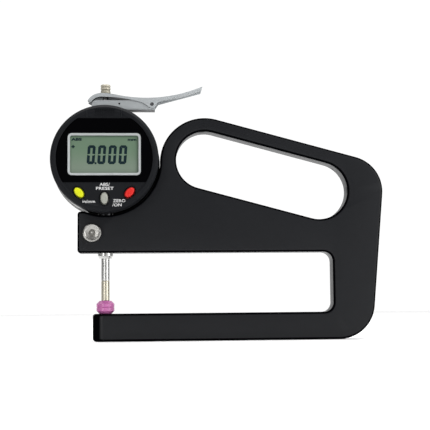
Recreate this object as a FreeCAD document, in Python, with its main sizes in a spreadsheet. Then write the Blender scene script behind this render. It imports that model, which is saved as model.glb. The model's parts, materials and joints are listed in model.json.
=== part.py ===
import FreeCAD, Part
import math
import os
import Sketcher
from FreeCAD import Rotation, Vector

# Digital thickness gauge with a deep C frame.
# Millimetres. X = 0 and Y = 0 on the spindle axis, Z = 0 under the lower arm.
# The dial faces -Y, the throat and the handle run towards +X.

doc = FreeCAD.newDocument("thickness_gauge")

DIMENSIONS = [
    # Frame plate
    ("plate_thick", 12.0), ("edge_round", 1.5), ("throat_depth", 120.0), ("throat_gap", 31.7),
    ("throat_corner", 5.0), ("anvil_arm_height", 14.3), ("anvil_overhang", 6.6),
    ("head_arm_height", 21.8), ("arm_ledge", 2.1), ("arm_corner", 1.6),
    ("heel_radius", 18.9), ("heel_inset", 3.2), ("back_lean", 5.28), ("shoulder_radius", 18.9),
    ("grip_slope", 15.05), ("grip_lap", 0.1), ("grip_end_drop", 1.0), ("grip_end_radius", 23.9),
    ("grip_hole_half", 15.3), ("grip_hole_inset", 0.05), ("grip_hole_rise", 0.3),
    ("grip_hole_length", 62.8), ("recess_gap", 0.8), ("recess_depth", 2.05), ("corner_ease", 1.6),
    # Clamp of the gauge head
    ("slit_width", 1.0), ("clamp_screw_inset", 6.6), ("clamp_screw_drop", 11.4),
    ("clamp_screw_radius", 2.0), ("clamp_head_radius", 4.75), ("clamp_head_height", 2.8),
    ("clamp_screw_tail", 1.0), ("hole_clearance", 0.05), ("clamp_clearance", 0.01),
    # Contact and anvil discs
    ("disc_radius", 4.75), ("disc_height", 3.4), ("disc_bevel", 1.55), ("disc_edge", 0.25),
    ("spigot_radius", 2.0), ("spigot_length", 5.0), ("contact_gap", 0.01), ("seat_gap", 0.02),
    # Spindle and its guides
    ("travel", 10.0), ("spindle_radius", 2.2), ("running_clearance", 0.05),
    ("spindle_neck_radius", 1.5), ("shank_length", 10.3), ("stud_radius", 1.25),
    ("stud_length", 5.0), ("stud_spare", 0.4), ("joint_chamfer", 0.2),
    ("stem_radius", 4.0), ("stem_drop", 2.1), ("stem_chamfer", 0.6), ("stem_rise", 5.0),
    ("cap_height", 4.9), ("cap_radius", 2.65), ("cap_groove", 0.3),
    ("cap_grip", 3.0), ("cap_chamfer", 0.35),
    # Gauge head housing
    ("bezel_radius", 28.1), ("bezel_front", 15.5), ("bezel_back", 6.5),
    ("bezel_wall", 2.0), ("rim_width", 3.1), ("rim_bevel", 1.6), ("face_step", 0.7),
    ("face_thick", 2.0), ("case_inset", 0.1), ("case_wall", 2.1), ("case_depth", 14.9),
    ("flat_drop", 0.65), ("cover_thick", 1.6), ("cover_chamfer", 0.5), ("cover_lip", 0.8),
    ("boss_radius", 2.4), ("boss_inset", 2.3), ("boss_high_angle", 45.0),
    ("boss_low_angle", 33.0), ("case_screw_radius", 0.8),
    ("screw_head_radius", 1.5), ("screw_head_height", 0.9),
    ("post_half", 4.6), ("post_height", 5.0), ("guide_bar_half", 3.0), ("guide_bar_thick", 1.8),
    ("guide_bar_near", 4.6), ("guide_pin_radius", 1.0),
    # Window, display and its trim
    ("window_inset", 3.2), ("window_top_inset", 7.4), ("window_bottom", 12.6), ("window_thick", 1.0),
    ("window_ledge", 0.6), ("window_step", 0.25), ("fit_gap", 0.1),
    ("trim_side_inset", 6.1), ("trim_height_inset", 3.0), ("trim_border", 1.15), ("trim_corner", 2.2),
    ("trim_thick", 0.9), ("trim_rise", 1.9), ("display_margin", 1.4), ("display_thick", 1.2),
    # Keys
    ("key_half_long", 2.95), ("key_half_short", 1.85), ("key_inset", 5.9), ("key_middle_inset", 7.1),
    ("key_spread", 35.8), ("key_turn", 47.0), ("key_proud", 1.3), ("key_round", 0.9),
    ("key_flange", 1.0), ("key_flange_thick", 0.6), ("key_travel", 0.6), ("key_gap", 0.12),
    ("key_clear", 0.5), ("key_well", 1.0), ("key_well_depth", 0.6),
    ("pad_thick", 0.8), ("pad_inset", 1.0), ("pad_dome_radius", 1.9), ("pad_above", 6.1), ("pad_below", 3.5),
    ("pad_half", 13.5),
    # Circuit board, cell and battery cover
    ("board_front", 10.6), ("board_thick", 1.2), ("board_inset", 0.8), ("bay_half", 7.2),
    ("cell_radius", 5.8), ("cell_thick", 5.4), ("cell_inset", 0.7), ("contact_thick", 0.15),
    ("contact_half", 2.0), ("cover_half", 9.0), ("cover_reach", 6.8), ("rib_count", 9.0),
    ("rib_pitch", 1.15), ("rib_width", 0.5), ("rib_depth", 0.3), ("rib_length", 3.9),
    # Scale carrier on the spindle
    ("carrier_half", 4.5), ("carrier_back", 3.2), ("carrier_drop", 14.6), ("carrier_height", 17.5),
    ("scale_thick", 0.5), ("scale_half", 3.6), ("scale_gap", 0.3), ("scale_tail", 2.0),
    ("guide_pin_rise", 8.0), ("spring_radius", 2.1), ("spring_wire", 0.3), ("spring_turns", 8.0),
    # Lever bracket and its fastenings
    ("sheet_thick", 0.7), ("bracket_half", 3.8), ("bracket_left", 7.2), ("bracket_height", 5.2),
    ("bracket_tail", 1.6), ("bracket_round", 2.0), ("bracket_left_round", 2.6), ("bend_round", 0.9),
    ("bush_flange_radius", 2.95), ("bush_flange_thick", 1.2), ("bush_neck_radius", 2.5),
    ("bush_neck_length", 6.5), ("rivet_x", 7.4), ("rivet_drop", 1.85), ("rivet_radius", 0.5),
    # Lifting lever
    ("pivot_x", 24.7), ("pivot_rise", 3.0), ("pin_radius", 0.9), ("lobe_radius", 2.1),
    ("lever_gap", 0.1), ("cap_seat_gap", 0.3), ("hook_x", 2.3), ("hook_radius", 8.0),
    ("hook_band", 1.95), ("hook_end_rise", 4.8), ("crest_rise", 8.9), ("crest_radius", 41.0),
    ("arm_radius", 76.0), ("arm_low_x", 21.5), ("cheek_radius", 80.0), ("cheek_end_x", 20.0),
    ("heel_x", 28.0), ("heel_rise", 4.2), ("tip_low_x", 50.9), ("tip_rise", 10.5),
    ("tip_x", 51.6), ("fork_half", 1.75), ("fork_end", 2.3),
]

sheet = doc.addObject("Spreadsheet::Sheet", "sizes")
for row, (name, value) in enumerate(DIMENSIONS, 1):
    sheet.set("A%d" % row, name)
    sheet.set("B%d" % row, str(value))
    sheet.setAlias("B%d" % row, name)
doc.recompute()


class Size:
    """A length or angle that knows its value and the sheet expression that gives it."""

    def __init__(self, value, text):
        self.value = value
        self.text = text

    def mix(self, other, sign, work, swapped=False):
        other = size(other)
        first, second = (other, self) if swapped else (self, other)
        return Size(work(first.value, second.value), "(%s %s %s)" % (first.text, sign, second.text))

    def __add__(self, other):
        return self.mix(other, "+", lambda a, b: a + b)

    def __radd__(self, other):
        return self.mix(other, "+", lambda a, b: a + b, True)

    def __sub__(self, other):
        return self.mix(other, "-", lambda a, b: a - b)

    def __rsub__(self, other):
        return self.mix(other, "-", lambda a, b: a - b, True)

    def __mul__(self, other):
        return self.mix(other, "*", lambda a, b: a * b)

    def __rmul__(self, other):
        return self.mix(other, "*", lambda a, b: a * b, True)

    def __truediv__(self, other):
        return self.mix(other, "/", lambda a, b: a / b)

    def __neg__(self):
        return self.mix(-1, "*", lambda a, b: a * b)


def size(thing):
    if isinstance(thing, Size):
        return thing
    return Size(float(thing), "%g" % thing)


def sine(angle):
    return Size(math.sin(math.radians(angle.value)), "sin(%s)" % angle.text)


def cosine(angle):
    return Size(math.cos(math.radians(angle.value)), "cos(%s)" % angle.text)


def root(number):
    return Size(math.sqrt(number.value), "sqrt(%s)" % number.text)


class Sheet:
    """Gives each alias of the sheet as a Size, such as dim.travel."""

    def __getattr__(self, name):
        return Size(float(sheet.get(name)), "sizes." + name)


dim = Sheet()
ALONG_Y = Rotation(Vector(1, 0, 0), -90)
UPRIGHT = Rotation()


def bind(item, prop, amount):
    amount = size(amount)
    if "sizes." in amount.text:
        item.setExpression(prop, amount.text)
    elif prop.startswith("Placement.Base."):
        setattr(item.Placement.Base, prop[-1], amount.value)
    else:
        setattr(item, prop, amount.value)


def place(item, x=0, y=0, z=0, turn=UPRIGHT):
    item.Placement = FreeCAD.Placement(Vector(size(x).value, size(y).value, size(z).value), turn)
    for letter, amount in (("x", x), ("y", y), ("z", z)):
        if isinstance(amount, Size):
            item.setExpression("Placement.Base." + letter, amount.text)
    return item


# Part primitives and booleans with bound sizes

def block(name, low, high):
    """A box between two corners given as sizes."""
    item = doc.addObject("Part::Box", name)
    for prop, a, b in zip(("Length", "Width", "Height"), low, high):
        bind(item, prop, size(b) - size(a))
    return place(item, *low)


def rod(name, radius, length, x=0, y=0, z=0, turn=UPRIGHT):
    """A cylinder that grows from its base point along Z, or along Y when turned."""
    item = doc.addObject("Part::Cylinder", name)
    bind(item, "Radius", radius)
    bind(item, "Height", length)
    return place(item, x, y, z, turn)


def oval(name, half_long, half_short, y, length, x, z, lean):
    """An elliptical prism along +Y from y, its long axis leaning from +X towards +Z."""
    curve = doc.addObject("Part::Ellipse", name + "_outline")
    bind(curve, "MajorRadius", half_long)
    bind(curve, "MinorRadius", half_short)
    curve.Placement = FreeCAD.Placement(Vector(), Rotation(Vector(1, 0, 0), 90))
    item = doc.addObject("Part::Extrusion", name)
    item.Base = curve
    item.DirMode = "Custom"
    item.Dir = Vector(0, 1, 0)
    bind(item, "LengthFwd", length)
    item.Solid = True
    place(item, x, y, z, Rotation(Vector(0, -1, 0), size(lean).value))
    if isinstance(lean, Size):
        item.setExpression("Placement.Rotation.Angle", lean.text)
    return item


def cut(name, base, tools):
    item = doc.addObject("Part::Cut", name)
    item.Base = base
    item.Tool = tools[0] if len(tools) == 1 else fuse(name + "_tools", tools)
    return item


def fuse(name, shapes):
    item = doc.addObject("Part::MultiFuse", name)
    item.Shapes = shapes
    item.Refine = True
    return item


def common(name, shapes):
    item = doc.addObject("Part::MultiCommon", name)
    item.Shapes = shapes
    return item


def group(name, shapes):
    item = doc.addObject("Part::Compound", name)
    item.Links = shapes
    return item


# Sketches and PartDesign features with bound sizes

def body_named(name):
    return doc.addObject("PartDesign::Body", name)


def sketch_on(body, role, name):
    plane = [item for item in body.Origin.OriginFeatures if item.Role == role][0]
    sketch = body.newObject("Sketcher::SketchObject", name)
    sketch.AttachmentSupport = [(plane, "")]
    sketch.MapMode = "FlatFace"
    return sketch


def datum(sketch, kind, *where_and_amount):
    """A constraint whose last argument is a size; angles are given in degrees."""
    where = where_and_amount[:-1]
    amount = size(where_and_amount[-1])
    value = math.radians(amount.value) if kind == "Angle" else amount.value
    index = sketch.addConstraint(Sketcher.Constraint(kind, *where, value))
    if "sizes." in amount.text:
        sketch.setExpression("Constraints[%d]" % index, amount.text)


def pin_point(sketch, piece, end, x=None, z=None):
    """Fixes one end of a piece of a sketch at a distance from the sketch's origin."""
    for kind, axis, amount in (("DistanceX", -2, x), ("DistanceY", -1, z)):
        if amount is None:
            continue
        if abs(size(amount).value) < 1e-9:
            sketch.addConstraint(Sketcher.Constraint("PointOnObject", piece, end, axis))
        else:
            datum(sketch, kind, -1, 1, piece, end, amount)


def polygon(sketch, points):
    """A closed outline of straight lines through points given as sizes."""
    spots = [Vector(size(x).value, size(z).value, 0) for x, z in points]
    count = len(points)
    for index in range(count):
        line = Part.LineSegment(spots[index], spots[(index + 1) % count])
        sketch.addGeometry(line, False)
    for index in range(count):
        follower = (index + 1) % count
        sketch.addConstraint(Sketcher.Constraint("Coincident", index, 2, follower, 1))
    for index, (x, z) in enumerate(points):
        pin_point(sketch, index, 1, x, z)


def straight(start, end):
    """A line of a chain, as geometry with the numbers of its first and last ends."""
    line = Part.LineSegment(Vector(start[0], start[1], 0), Vector(end[0], end[1], 0))
    return line, 1, 2


def curve(centre, radius, first, last):
    """An arc of a chain from one angle to another in degrees; last below first runs clockwise."""
    circle = Part.Circle(Vector(centre[0], centre[1], 0), Vector(0, 0, 1), radius)
    low, high = math.radians(min(first, last)), math.radians(max(first, last))
    ends = (1, 2) if last > first else (2, 1)
    return (Part.ArcOfCircle(circle, low, high),) + ends


def chain(sketch, pieces, smooth):
    """Adds pieces end to end in a closed loop; those in smooth run tangent into the next."""
    for piece, first, last in pieces:
        sketch.addGeometry(piece, False)
    for index, (piece, first, last) in enumerate(pieces):
        follower = (index + 1) % len(pieces)
        kind = "Tangent" if index in smooth else "Coincident"
        joint = Sketcher.Constraint(kind, index, last, follower, pieces[follower][1])
        sketch.addConstraint(joint)


def settled(sketch):
    """Stops the build where a sketch can't be solved or is left loose."""
    if sketch.solve() != 0 or not sketch.FullyConstrained:
        raise RuntimeError(sketch.Name + " isn't fully constrained")
    return sketch


def pad(body, sketch, name, length, both_ways=False, backwards=False):
    item = body.newObject("PartDesign::Pad", name)
    item.Profile = settled(sketch)
    bind(item, "Length", length)
    item.SideType = "Symmetric" if both_ways else "One side"
    item.Reversed = backwards
    doc.recompute()
    return item


def pocket(body, sketch, name, length, both_ways=False, backwards=False):
    before = body.Shape.Volume
    item = body.newObject("PartDesign::Pocket", name)
    item.Profile = settled(sketch)
    bind(item, "Length", length)
    item.SideType = "Symmetric" if both_ways else "One side"
    item.Reversed = backwards
    doc.recompute()
    if body.Shape.Volume > before - 1e-3:
        raise RuntimeError(name + " cuts nothing")
    return item


def edge_names(shape, test):
    return ["Edge%d" % (index + 1) for index, edge in enumerate(shape.Edges) if test(edge)]


def dress(kind, body, name, amount, test):
    """A Fillet or a Chamfer on the edges of the body that pass the test."""
    base = body.Tip
    item = body.newObject("PartDesign::" + kind, name)
    item.Base = (base, edge_names(base.Shape, test))
    bind(item, "Radius" if kind == "Fillet" else "Size", amount)
    doc.recompute()
    return item


def turned(name, points, about="Z", x=0, y=0, z=0):
    """A body of revolution about its own Z or Y axis; points are (radius, height)."""
    body = body_named(name)
    role = "XZ_Plane" if about == "Z" else "XY_Plane"
    sketch = sketch_on(body, role, name + "_profile")
    polygon(sketch, points)
    spin = body.newObject("PartDesign::Revolution", name + "_turned")
    spin.Profile = settled(sketch)
    spin.ReferenceAxis = (sketch, ["V_Axis"])
    doc.recompute()
    return place(body, x, y, z)


def panel(name, half_width, low, high, front, thick, corner):
    """A flat plate across Y with rounded corners, centred on the dial."""
    body = body_named(name)
    sketch = sketch_on(body, "XZ_Plane", name + "_outline")
    polygon(sketch, [(-half_width, low), (half_width, low), (half_width, high), (-half_width, high)])
    pad(body, sketch, name + "_plate", thick, backwards=True)
    dress("Fillet", body, name + "_corners", corner, runs_along_y)
    return place(body, 0, front, dial_z)


def runs_along_y(edge):
    ends = [vertex.Point for vertex in edge.Vertexes]
    if len(ends) != 2 or not isinstance(edge.Curve, Part.Line):
        return False
    return abs(ends[0].y - ends[1].y) > 0.9 * edge.Length


parts = {}


def keep(node, item):
    """Names the finished piece of a node."""
    item.Label = node
    parts[node] = item
    return item


# Heights and places that several pieces share

half_plate = dim.plate_thick / 2
throat_roof = dim.anvil_arm_height + dim.throat_gap
head_arm_top = throat_roof + dim.head_arm_height
recess_radius = dim.bezel_radius + dim.recess_gap
case_radius = dim.bezel_radius - dim.case_inset
case_flat = case_radius - dim.flat_drop
inner_radius = case_radius - dim.case_wall
boss_circle = inner_radius - dim.boss_inset
board_radius = inner_radius - dim.board_inset
cell_rise = inner_radius - dim.cell_radius - dim.cell_inset
window_radius = dim.bezel_radius - dim.window_inset
trim_width = 2 * (window_radius - dim.trim_side_inset)
trim_height = window_radius - dim.trim_height_inset
window_top = dim.bezel_radius - dim.window_top_inset
cover_foot = dim.bezel_radius - dim.cover_reach
key_circle = dim.bezel_radius - dim.key_inset
key_middle_drop = dim.bezel_radius - dim.key_middle_inset
pad_top = key_middle_drop - dim.pad_above
pad_bottom = key_middle_drop + dim.pad_below
recess_reach = root(dim.recess_depth * (2 * recess_radius - dim.recess_depth))
head_overhang = recess_reach + dim.arm_corner + dim.arm_ledge
dial_z = head_arm_top - dim.recess_depth + recess_radius
grip_x = recess_radius - dim.grip_lap + dim.grip_end_radius
grip_z = dial_z - dim.grip_end_drop
grip_hole_x = grip_x - dim.grip_hole_inset
grip_hole_z = dial_z + dim.grip_hole_rise
anvil_top = dim.anvil_arm_height + dim.disc_height
contact_foot = anvil_top + dim.contact_gap
shank_foot = contact_foot + dim.disc_height + dim.seat_gap
spindle_foot = shank_foot + dim.shank_length + dim.seat_gap
stem_foot = throat_roof - dim.stem_drop
bracket_foot = dial_z + case_flat
bush_seat = bracket_foot + dim.sheet_thick
pivot_z = bracket_foot + dim.pivot_rise
crest_z = bracket_foot + dim.crest_rise
hook_end_z = bracket_foot + dim.hook_end_rise
heel_z = bracket_foot + dim.heel_rise
tip_low_z = bracket_foot + dim.tip_rise
cap_foot = crest_z + dim.cap_seat_gap
carrier_foot = dial_z - dim.carrier_drop
carrier_top = carrier_foot + dim.carrier_height
scale_foot = carrier_foot - dim.scale_tail
guide_pin_z = carrier_foot + dim.guide_pin_rise
case_back = dim.case_depth - dim.bezel_back
face_front = -(dim.bezel_front - dim.face_step)
face_back = face_front + dim.face_thick


def frame_outline(sketch):
    """The plate's outline, anticlockwise from the nose of the lower arm."""
    lean, slope = math.radians(dim.back_lean.value), math.radians(dim.grip_slope.value)
    floor, roof, top = dim.anvil_arm_height.value, throat_roof.value, head_arm_top.value
    depth, left = dim.throat_depth.value, -head_overhang.value
    nose = half_plate.value - dim.anvil_overhang.value
    inner, corner = dim.throat_corner.value, dim.arm_corner.value
    heel, shoulder, grip = (dim.heel_radius.value, dim.shoulder_radius.value,
                            dim.grip_end_radius.value)
    heel_x = depth + dim.heel_inset.value
    end_x, end_z = grip_x.value, grip_z.value
    recess, dial = recess_radius.value, dial_z.value
    # The back edge and the grip line, each moved in by the shoulder radius, cross at its centre
    out = Vector(math.cos(lean), -math.sin(lean), 0)
    up = Vector(math.sin(lean), math.cos(lean), 0)
    over = Vector(math.sin(slope), math.cos(slope), 0)
    down = Vector(math.cos(slope), -math.sin(slope), 0)
    edge_start = Vector(heel_x, heel, 0) + out * (heel - shoulder)
    grip_start = Vector(end_x, end_z, 0) + over * (grip - shoulder)
    gap = grip_start - edge_start
    run = (gap.x * down.y - gap.y * down.x) / (up.x * down.y - up.y * down.x)
    peak = edge_start + up * run
    # The grip's end arc and the recess cross beside the dial
    span = math.hypot(end_x, end_z - dial)
    along = (span ** 2 + recess ** 2 - grip ** 2) / (2 * span)
    rise = math.sqrt(recess ** 2 - along ** 2)
    tilt = math.atan2(end_z - dial, end_x)
    meet = Vector(along * math.cos(tilt) - rise * math.sin(tilt),
                  dial + along * math.sin(tilt) + rise * math.cos(tilt), 0)
    meet_grip = math.degrees(math.atan2(meet.y - end_z, meet.x - end_x))
    meet_dial = math.degrees(math.atan2(meet.y - dial, meet.x))
    step = -math.sqrt(recess ** 2 - (dial - top) ** 2)
    step_angle = math.degrees(math.atan2(top - dial, step))
    heel_end = Vector(heel_x, heel, 0) + out * heel
    peak_start, peak_end = peak + out * shoulder, peak + over * shoulder
    grip_end = Vector(end_x, end_z, 0) + over * grip
    lean, slope = dim.back_lean.value, dim.grip_slope.value
    pieces = [
        straight((nose, 0), (heel_x, 0)),
        curve((heel_x, heel), heel, -90, -lean),
        straight((heel_end.x, heel_end.y), (peak_start.x, peak_start.y)),
        curve((peak.x, peak.y), shoulder, -lean, 90 - slope),
        straight((peak_end.x, peak_end.y), (grip_end.x, grip_end.y)),
        curve((end_x, end_z), grip, 90 - slope, meet_grip % 360),
        curve((0, dial), recess, meet_dial, step_angle),
        straight((step, top), (left + corner, top)),
        curve((left + corner, top - corner), corner, 90, 180),
        straight((left, top - corner), (left, roof + corner)),
        curve((left + corner, roof + corner), corner, 180, 270),
        straight((left + corner, roof), (depth - inner, roof)),
        curve((depth - inner, roof - inner), inner, 90, 0),
        straight((depth, roof - inner), (depth, floor + inner)),
        curve((depth - inner, floor + inner), inner, 0, -90),
        straight((depth - inner, floor), (nose, floor)),
        straight((nose, floor), (nose, 0)),
    ]
    chain(sketch, pieces, smooth={0, 1, 2, 3, 4, 7, 8, 9, 10, 11, 12, 13, 14})
    for piece in (0, 7, 11, 15):
        sketch.addConstraint(Sketcher.Constraint("Horizontal", piece))
    for piece in (9, 13, 16):
        sketch.addConstraint(Sketcher.Constraint("Vertical", piece))
    for piece, radius in ((1, dim.heel_radius), (3, dim.shoulder_radius), (5, dim.grip_end_radius),
                          (6, recess_radius), (8, dim.arm_corner), (10, dim.arm_corner),
                          (12, dim.throat_corner), (14, dim.throat_corner)):
        datum(sketch, "Radius", piece, radius)
    pin_point(sketch, 0, 1, half_plate - dim.anvil_overhang, 0)
    pin_point(sketch, 1, 3, x=dim.throat_depth + dim.heel_inset)
    pin_point(sketch, 5, 3, grip_x, grip_z)
    pin_point(sketch, 6, 3, 0, dial_z)
    pin_point(sketch, 7, 1, z=head_arm_top)
    pin_point(sketch, 9, 1, x=-head_overhang)
    pin_point(sketch, 11, 1, z=throat_roof)
    pin_point(sketch, 13, 1, x=dim.throat_depth)
    pin_point(sketch, 15, 1, z=dim.anvil_arm_height)
    datum(sketch, "Angle", -1, 2, 90 - dim.back_lean)
    datum(sketch, "Angle", -1, 4, 180 - dim.grip_slope)
    return (meet.x, meet.y), (step, top)


def build_frame():
    """The C frame: one milled plate with a grip hole, a clamping slit and its bores."""
    body = body_named("frame_body")
    outline = sketch_on(body, "XZ_Plane", "frame_outline")
    corners = frame_outline(outline)
    pad(body, outline, "frame_plate", dim.plate_thick, both_ways=True)

    def at_corner(edge):
        middle = edge.CenterOfMass
        return runs_along_y(edge) and min(math.dist((middle.x, middle.z), spot)
                                          for spot in corners) < 0.01

    dress("Fillet", body, "recess_corners", dim.corner_ease, at_corner)
    nose = sketch_on(body, "XY_Plane", "frame_nose")
    nose.addGeometry(Part.Circle(Vector(half_plate.value - dim.anvil_overhang.value, 0, 0),
                                 Vector(0, 0, 1), half_plate.value), False)
    datum(nose, "Radius", 0, half_plate)
    pin_point(nose, 0, 3, half_plate - dim.anvil_overhang, 0)
    pad(body, nose, "frame_nose_round", dim.anvil_arm_height)
    hole = sketch_on(body, "XZ_Plane", "grip_hole_outline")
    half, slope = dim.grip_hole_half.value, math.radians(dim.grip_slope.value)
    near = Vector(grip_hole_x.value, grip_hole_z.value, 0)
    far = near + Vector(math.cos(slope), -math.sin(slope), 0) * dim.grip_hole_length.value
    over = Vector(math.sin(slope), math.cos(slope), 0) * half
    lean = dim.grip_slope.value
    pieces = [
        straight((near.x - over.x, near.y - over.y), (far.x - over.x, far.y - over.y)),
        curve((far.x, far.y), half, -90 - lean, 90 - lean),
        straight((far.x + over.x, far.y + over.y), (near.x + over.x, near.y + over.y)),
        curve((near.x, near.y), half, 90 - lean, 270 - lean),
    ]
    chain(hole, pieces, smooth={0, 1, 2, 3})
    datum(hole, "Radius", 1, dim.grip_hole_half)
    hole.addConstraint(Sketcher.Constraint("Equal", 1, 3))
    pin_point(hole, 3, 3, grip_hole_x, grip_hole_z)
    pin_point(hole, 1, 3, grip_hole_x + dim.grip_hole_length * cosine(dim.grip_slope),
              grip_hole_z - dim.grip_hole_length * sine(dim.grip_slope))
    pocket(body, hole, "grip_hole", dim.plate_thick + 2, both_ways=True)
    half_value, nose_x = half_plate.value, half_plate.value - dim.anvil_overhang.value

    def on_rim(edge):
        box = edge.BoundBox
        on_face = box.YLength < 1e-4 and abs(abs(box.YMin) - half_value) < 1e-4
        if on_face and box.XLength < 1e-4 and abs(box.XMin - nose_x) < 1e-3:
            return False
        round_nose = box.ZLength < 1e-4 and box.XMin < nose_x - 1 and box.XMax < nose_x + 0.01
        low = box.ZMax < dim.anvil_arm_height.value + 1e-3
        return on_face or (round_nose and low and box.YLength > 1)

    dress("Fillet", body, "frame_edges", dim.edge_round, on_rim)
    stem_bore = rod("stem_bore", dim.stem_radius + dim.clamp_clearance,
                    dim.head_arm_height + 10, z=throat_roof - 5)
    slit = block("clamp_slit", (-head_overhang - 1, -dim.slit_width / 2, throat_roof - 1),
                 (0, dim.slit_width / 2, head_arm_top + 1))
    screw_hole = rod("clamp_screw_hole", dim.clamp_screw_radius + dim.hole_clearance,
                     dim.plate_thick + 2, -dim.clamp_screw_inset, -half_plate - 1,
                     head_arm_top - dim.clamp_screw_drop, ALONG_Y)
    anvil_hole = rod("anvil_hole", dim.spigot_radius + dim.seat_gap,
                     dim.spigot_length + dim.stud_spare + 1, 0, 0,
                     dim.anvil_arm_height - dim.spigot_length - dim.stud_spare)
    keep("frame", cut("frame_cut", body, [stem_bore, slit, screw_hole, anvil_hole]))


def build_clamp_screw():
    """A turned screw with a dished head, which draws the slit together on the stem."""
    head, height = dim.clamp_head_radius, dim.clamp_head_height
    shank, reach = dim.clamp_screw_radius, dim.plate_thick - dim.clamp_screw_tail
    points = [
        (0, 0.45 - height), (0.5, 0.1 - height), (1.35, 0.1 - height), (1.8, 0.75 - height),
        (head - 1.35, 0.4 - height), (head - 0.85, -height), (head - 0.4, -height),
        (head, 0.4 - height), (head, 0), (shank, 0), (shank, reach - 0.4), (shank - 0.4, reach),
        (0, reach),
    ]
    screw = turned("clamp_screw_body", points, "Y", -dim.clamp_screw_inset, -half_plate,
                   head_arm_top - dim.clamp_screw_drop)
    keep("clamp_screw", screw)


def build_contacts():
    """The ceramic discs that meet in the throat, and the steel shank of the upper one."""
    radius, height, bevel, edge = dim.disc_radius, dim.disc_height, dim.disc_bevel, dim.disc_edge
    anvil = [
        (0, -dim.spigot_length), (dim.spigot_radius, -dim.spigot_length), (dim.spigot_radius, 0),
        (radius - bevel, 0), (radius, bevel), (radius, height - edge), (radius - edge, height),
        (0, height),
    ]
    keep("anvil_disc", turned("anvil_disc_body", anvil, z=dim.anvil_arm_height))
    socket = dim.stud_radius + dim.seat_gap
    depth = dim.stud_length / 2
    contact = [
        (0, 0), (radius - edge, 0), (radius, edge), (radius, height - bevel),
        (radius - bevel, height), (socket, height), (socket, height - depth), (0, height - depth),
    ]
    keep("contact_disc", turned("contact_disc_body", contact, z=contact_foot))
    stud, rim, chamfer = dim.stud_radius, dim.spindle_radius, dim.joint_chamfer
    length, tail = dim.shank_length, depth - dim.stud_spare
    shank = [
        (0, -tail), (stud, -tail), (stud, 0), (rim - chamfer, 0), (rim, chamfer),
        (rim, length - chamfer), (rim - chamfer, length), (stud, length),
        (stud, length + dim.stud_length), (0, length + dim.stud_length),
    ]
    keep("contact_shank", turned("contact_shank_body", shank, z=shank_foot))


def build_spindle():
    """The sliding spindle with its thinner neck, the knurled cap and the ground bushes."""
    rim, neck, chamfer = dim.spindle_radius, dim.spindle_neck_radius, dim.joint_chamfer
    socket = dim.stud_radius + dim.seat_gap
    depth = dim.stud_length + dim.stud_spare
    step, top = carrier_top - spindle_foot, cap_foot + dim.cap_grip - spindle_foot
    spindle = [
        (0, depth), (socket, depth), (socket, 0), (rim - chamfer, 0), (rim, chamfer),
        (rim, step), (neck, step), (neck, top - 0.3), (neck - 0.3, top), (0, top),
    ]
    keep("spindle", turned("spindle_body", spindle, z=spindle_foot))
    radius, height, groove = dim.cap_radius, dim.cap_height, dim.cap_groove
    bore, grip, edge = neck + dim.seat_gap, dim.cap_grip + dim.stud_spare, dim.cap_chamfer
    cap = [
        (0, grip), (bore, grip), (bore, 0), (radius - edge, 0), (radius, edge),
        (radius, height * 0.28), (radius - groove, height * 0.34), (radius - groove, height * 0.44),
        (radius, height * 0.5), (radius, height * 0.64), (radius - groove, height * 0.69),
        (radius - groove, height * 0.73), (radius, height * 0.78), (radius, height - edge),
        (radius - edge, height), (0, height),
    ]
    keep("spindle_cap", turned("spindle_cap_body", cap, z=cap_foot))
    bore, outer = rim + dim.running_clearance, dim.stem_radius
    bevel = dim.stem_chamfer
    length = dial_z - inner_radius + dim.stem_rise - stem_foot
    stem = [
        (bore + 0.3, 0), (outer - bevel, 0), (outer, bevel), (outer, length), (bore, length),
        (bore, 0.3),
    ]
    keep("stem_bush", turned("stem_bush_body", stem, z=stem_foot))
    bore, outer = neck + dim.running_clearance, dim.bush_neck_radius
    flange, thick, length = dim.bush_flange_radius, dim.bush_flange_thick, dim.bush_neck_length
    bush = [
        (bore, -length), (outer, -length), (outer, 0), (flange, 0), (flange, thick - 0.3),
        (flange - 0.3, thick), (bore, thick),
    ]
    keep("upper_bush", turned("upper_bush_body", bush, z=bush_seat))


def boss_spots():
    """Places across and up from the dial's centre of the four screwed bosses."""
    spots = []
    for angle, up in ((dim.boss_high_angle, 1), (dim.boss_low_angle, -1)):
        for across in (-1, 1):
            spots.append((across * boss_circle * cosine(angle),
                          up * boss_circle * sine(angle)))
    return spots


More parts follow.
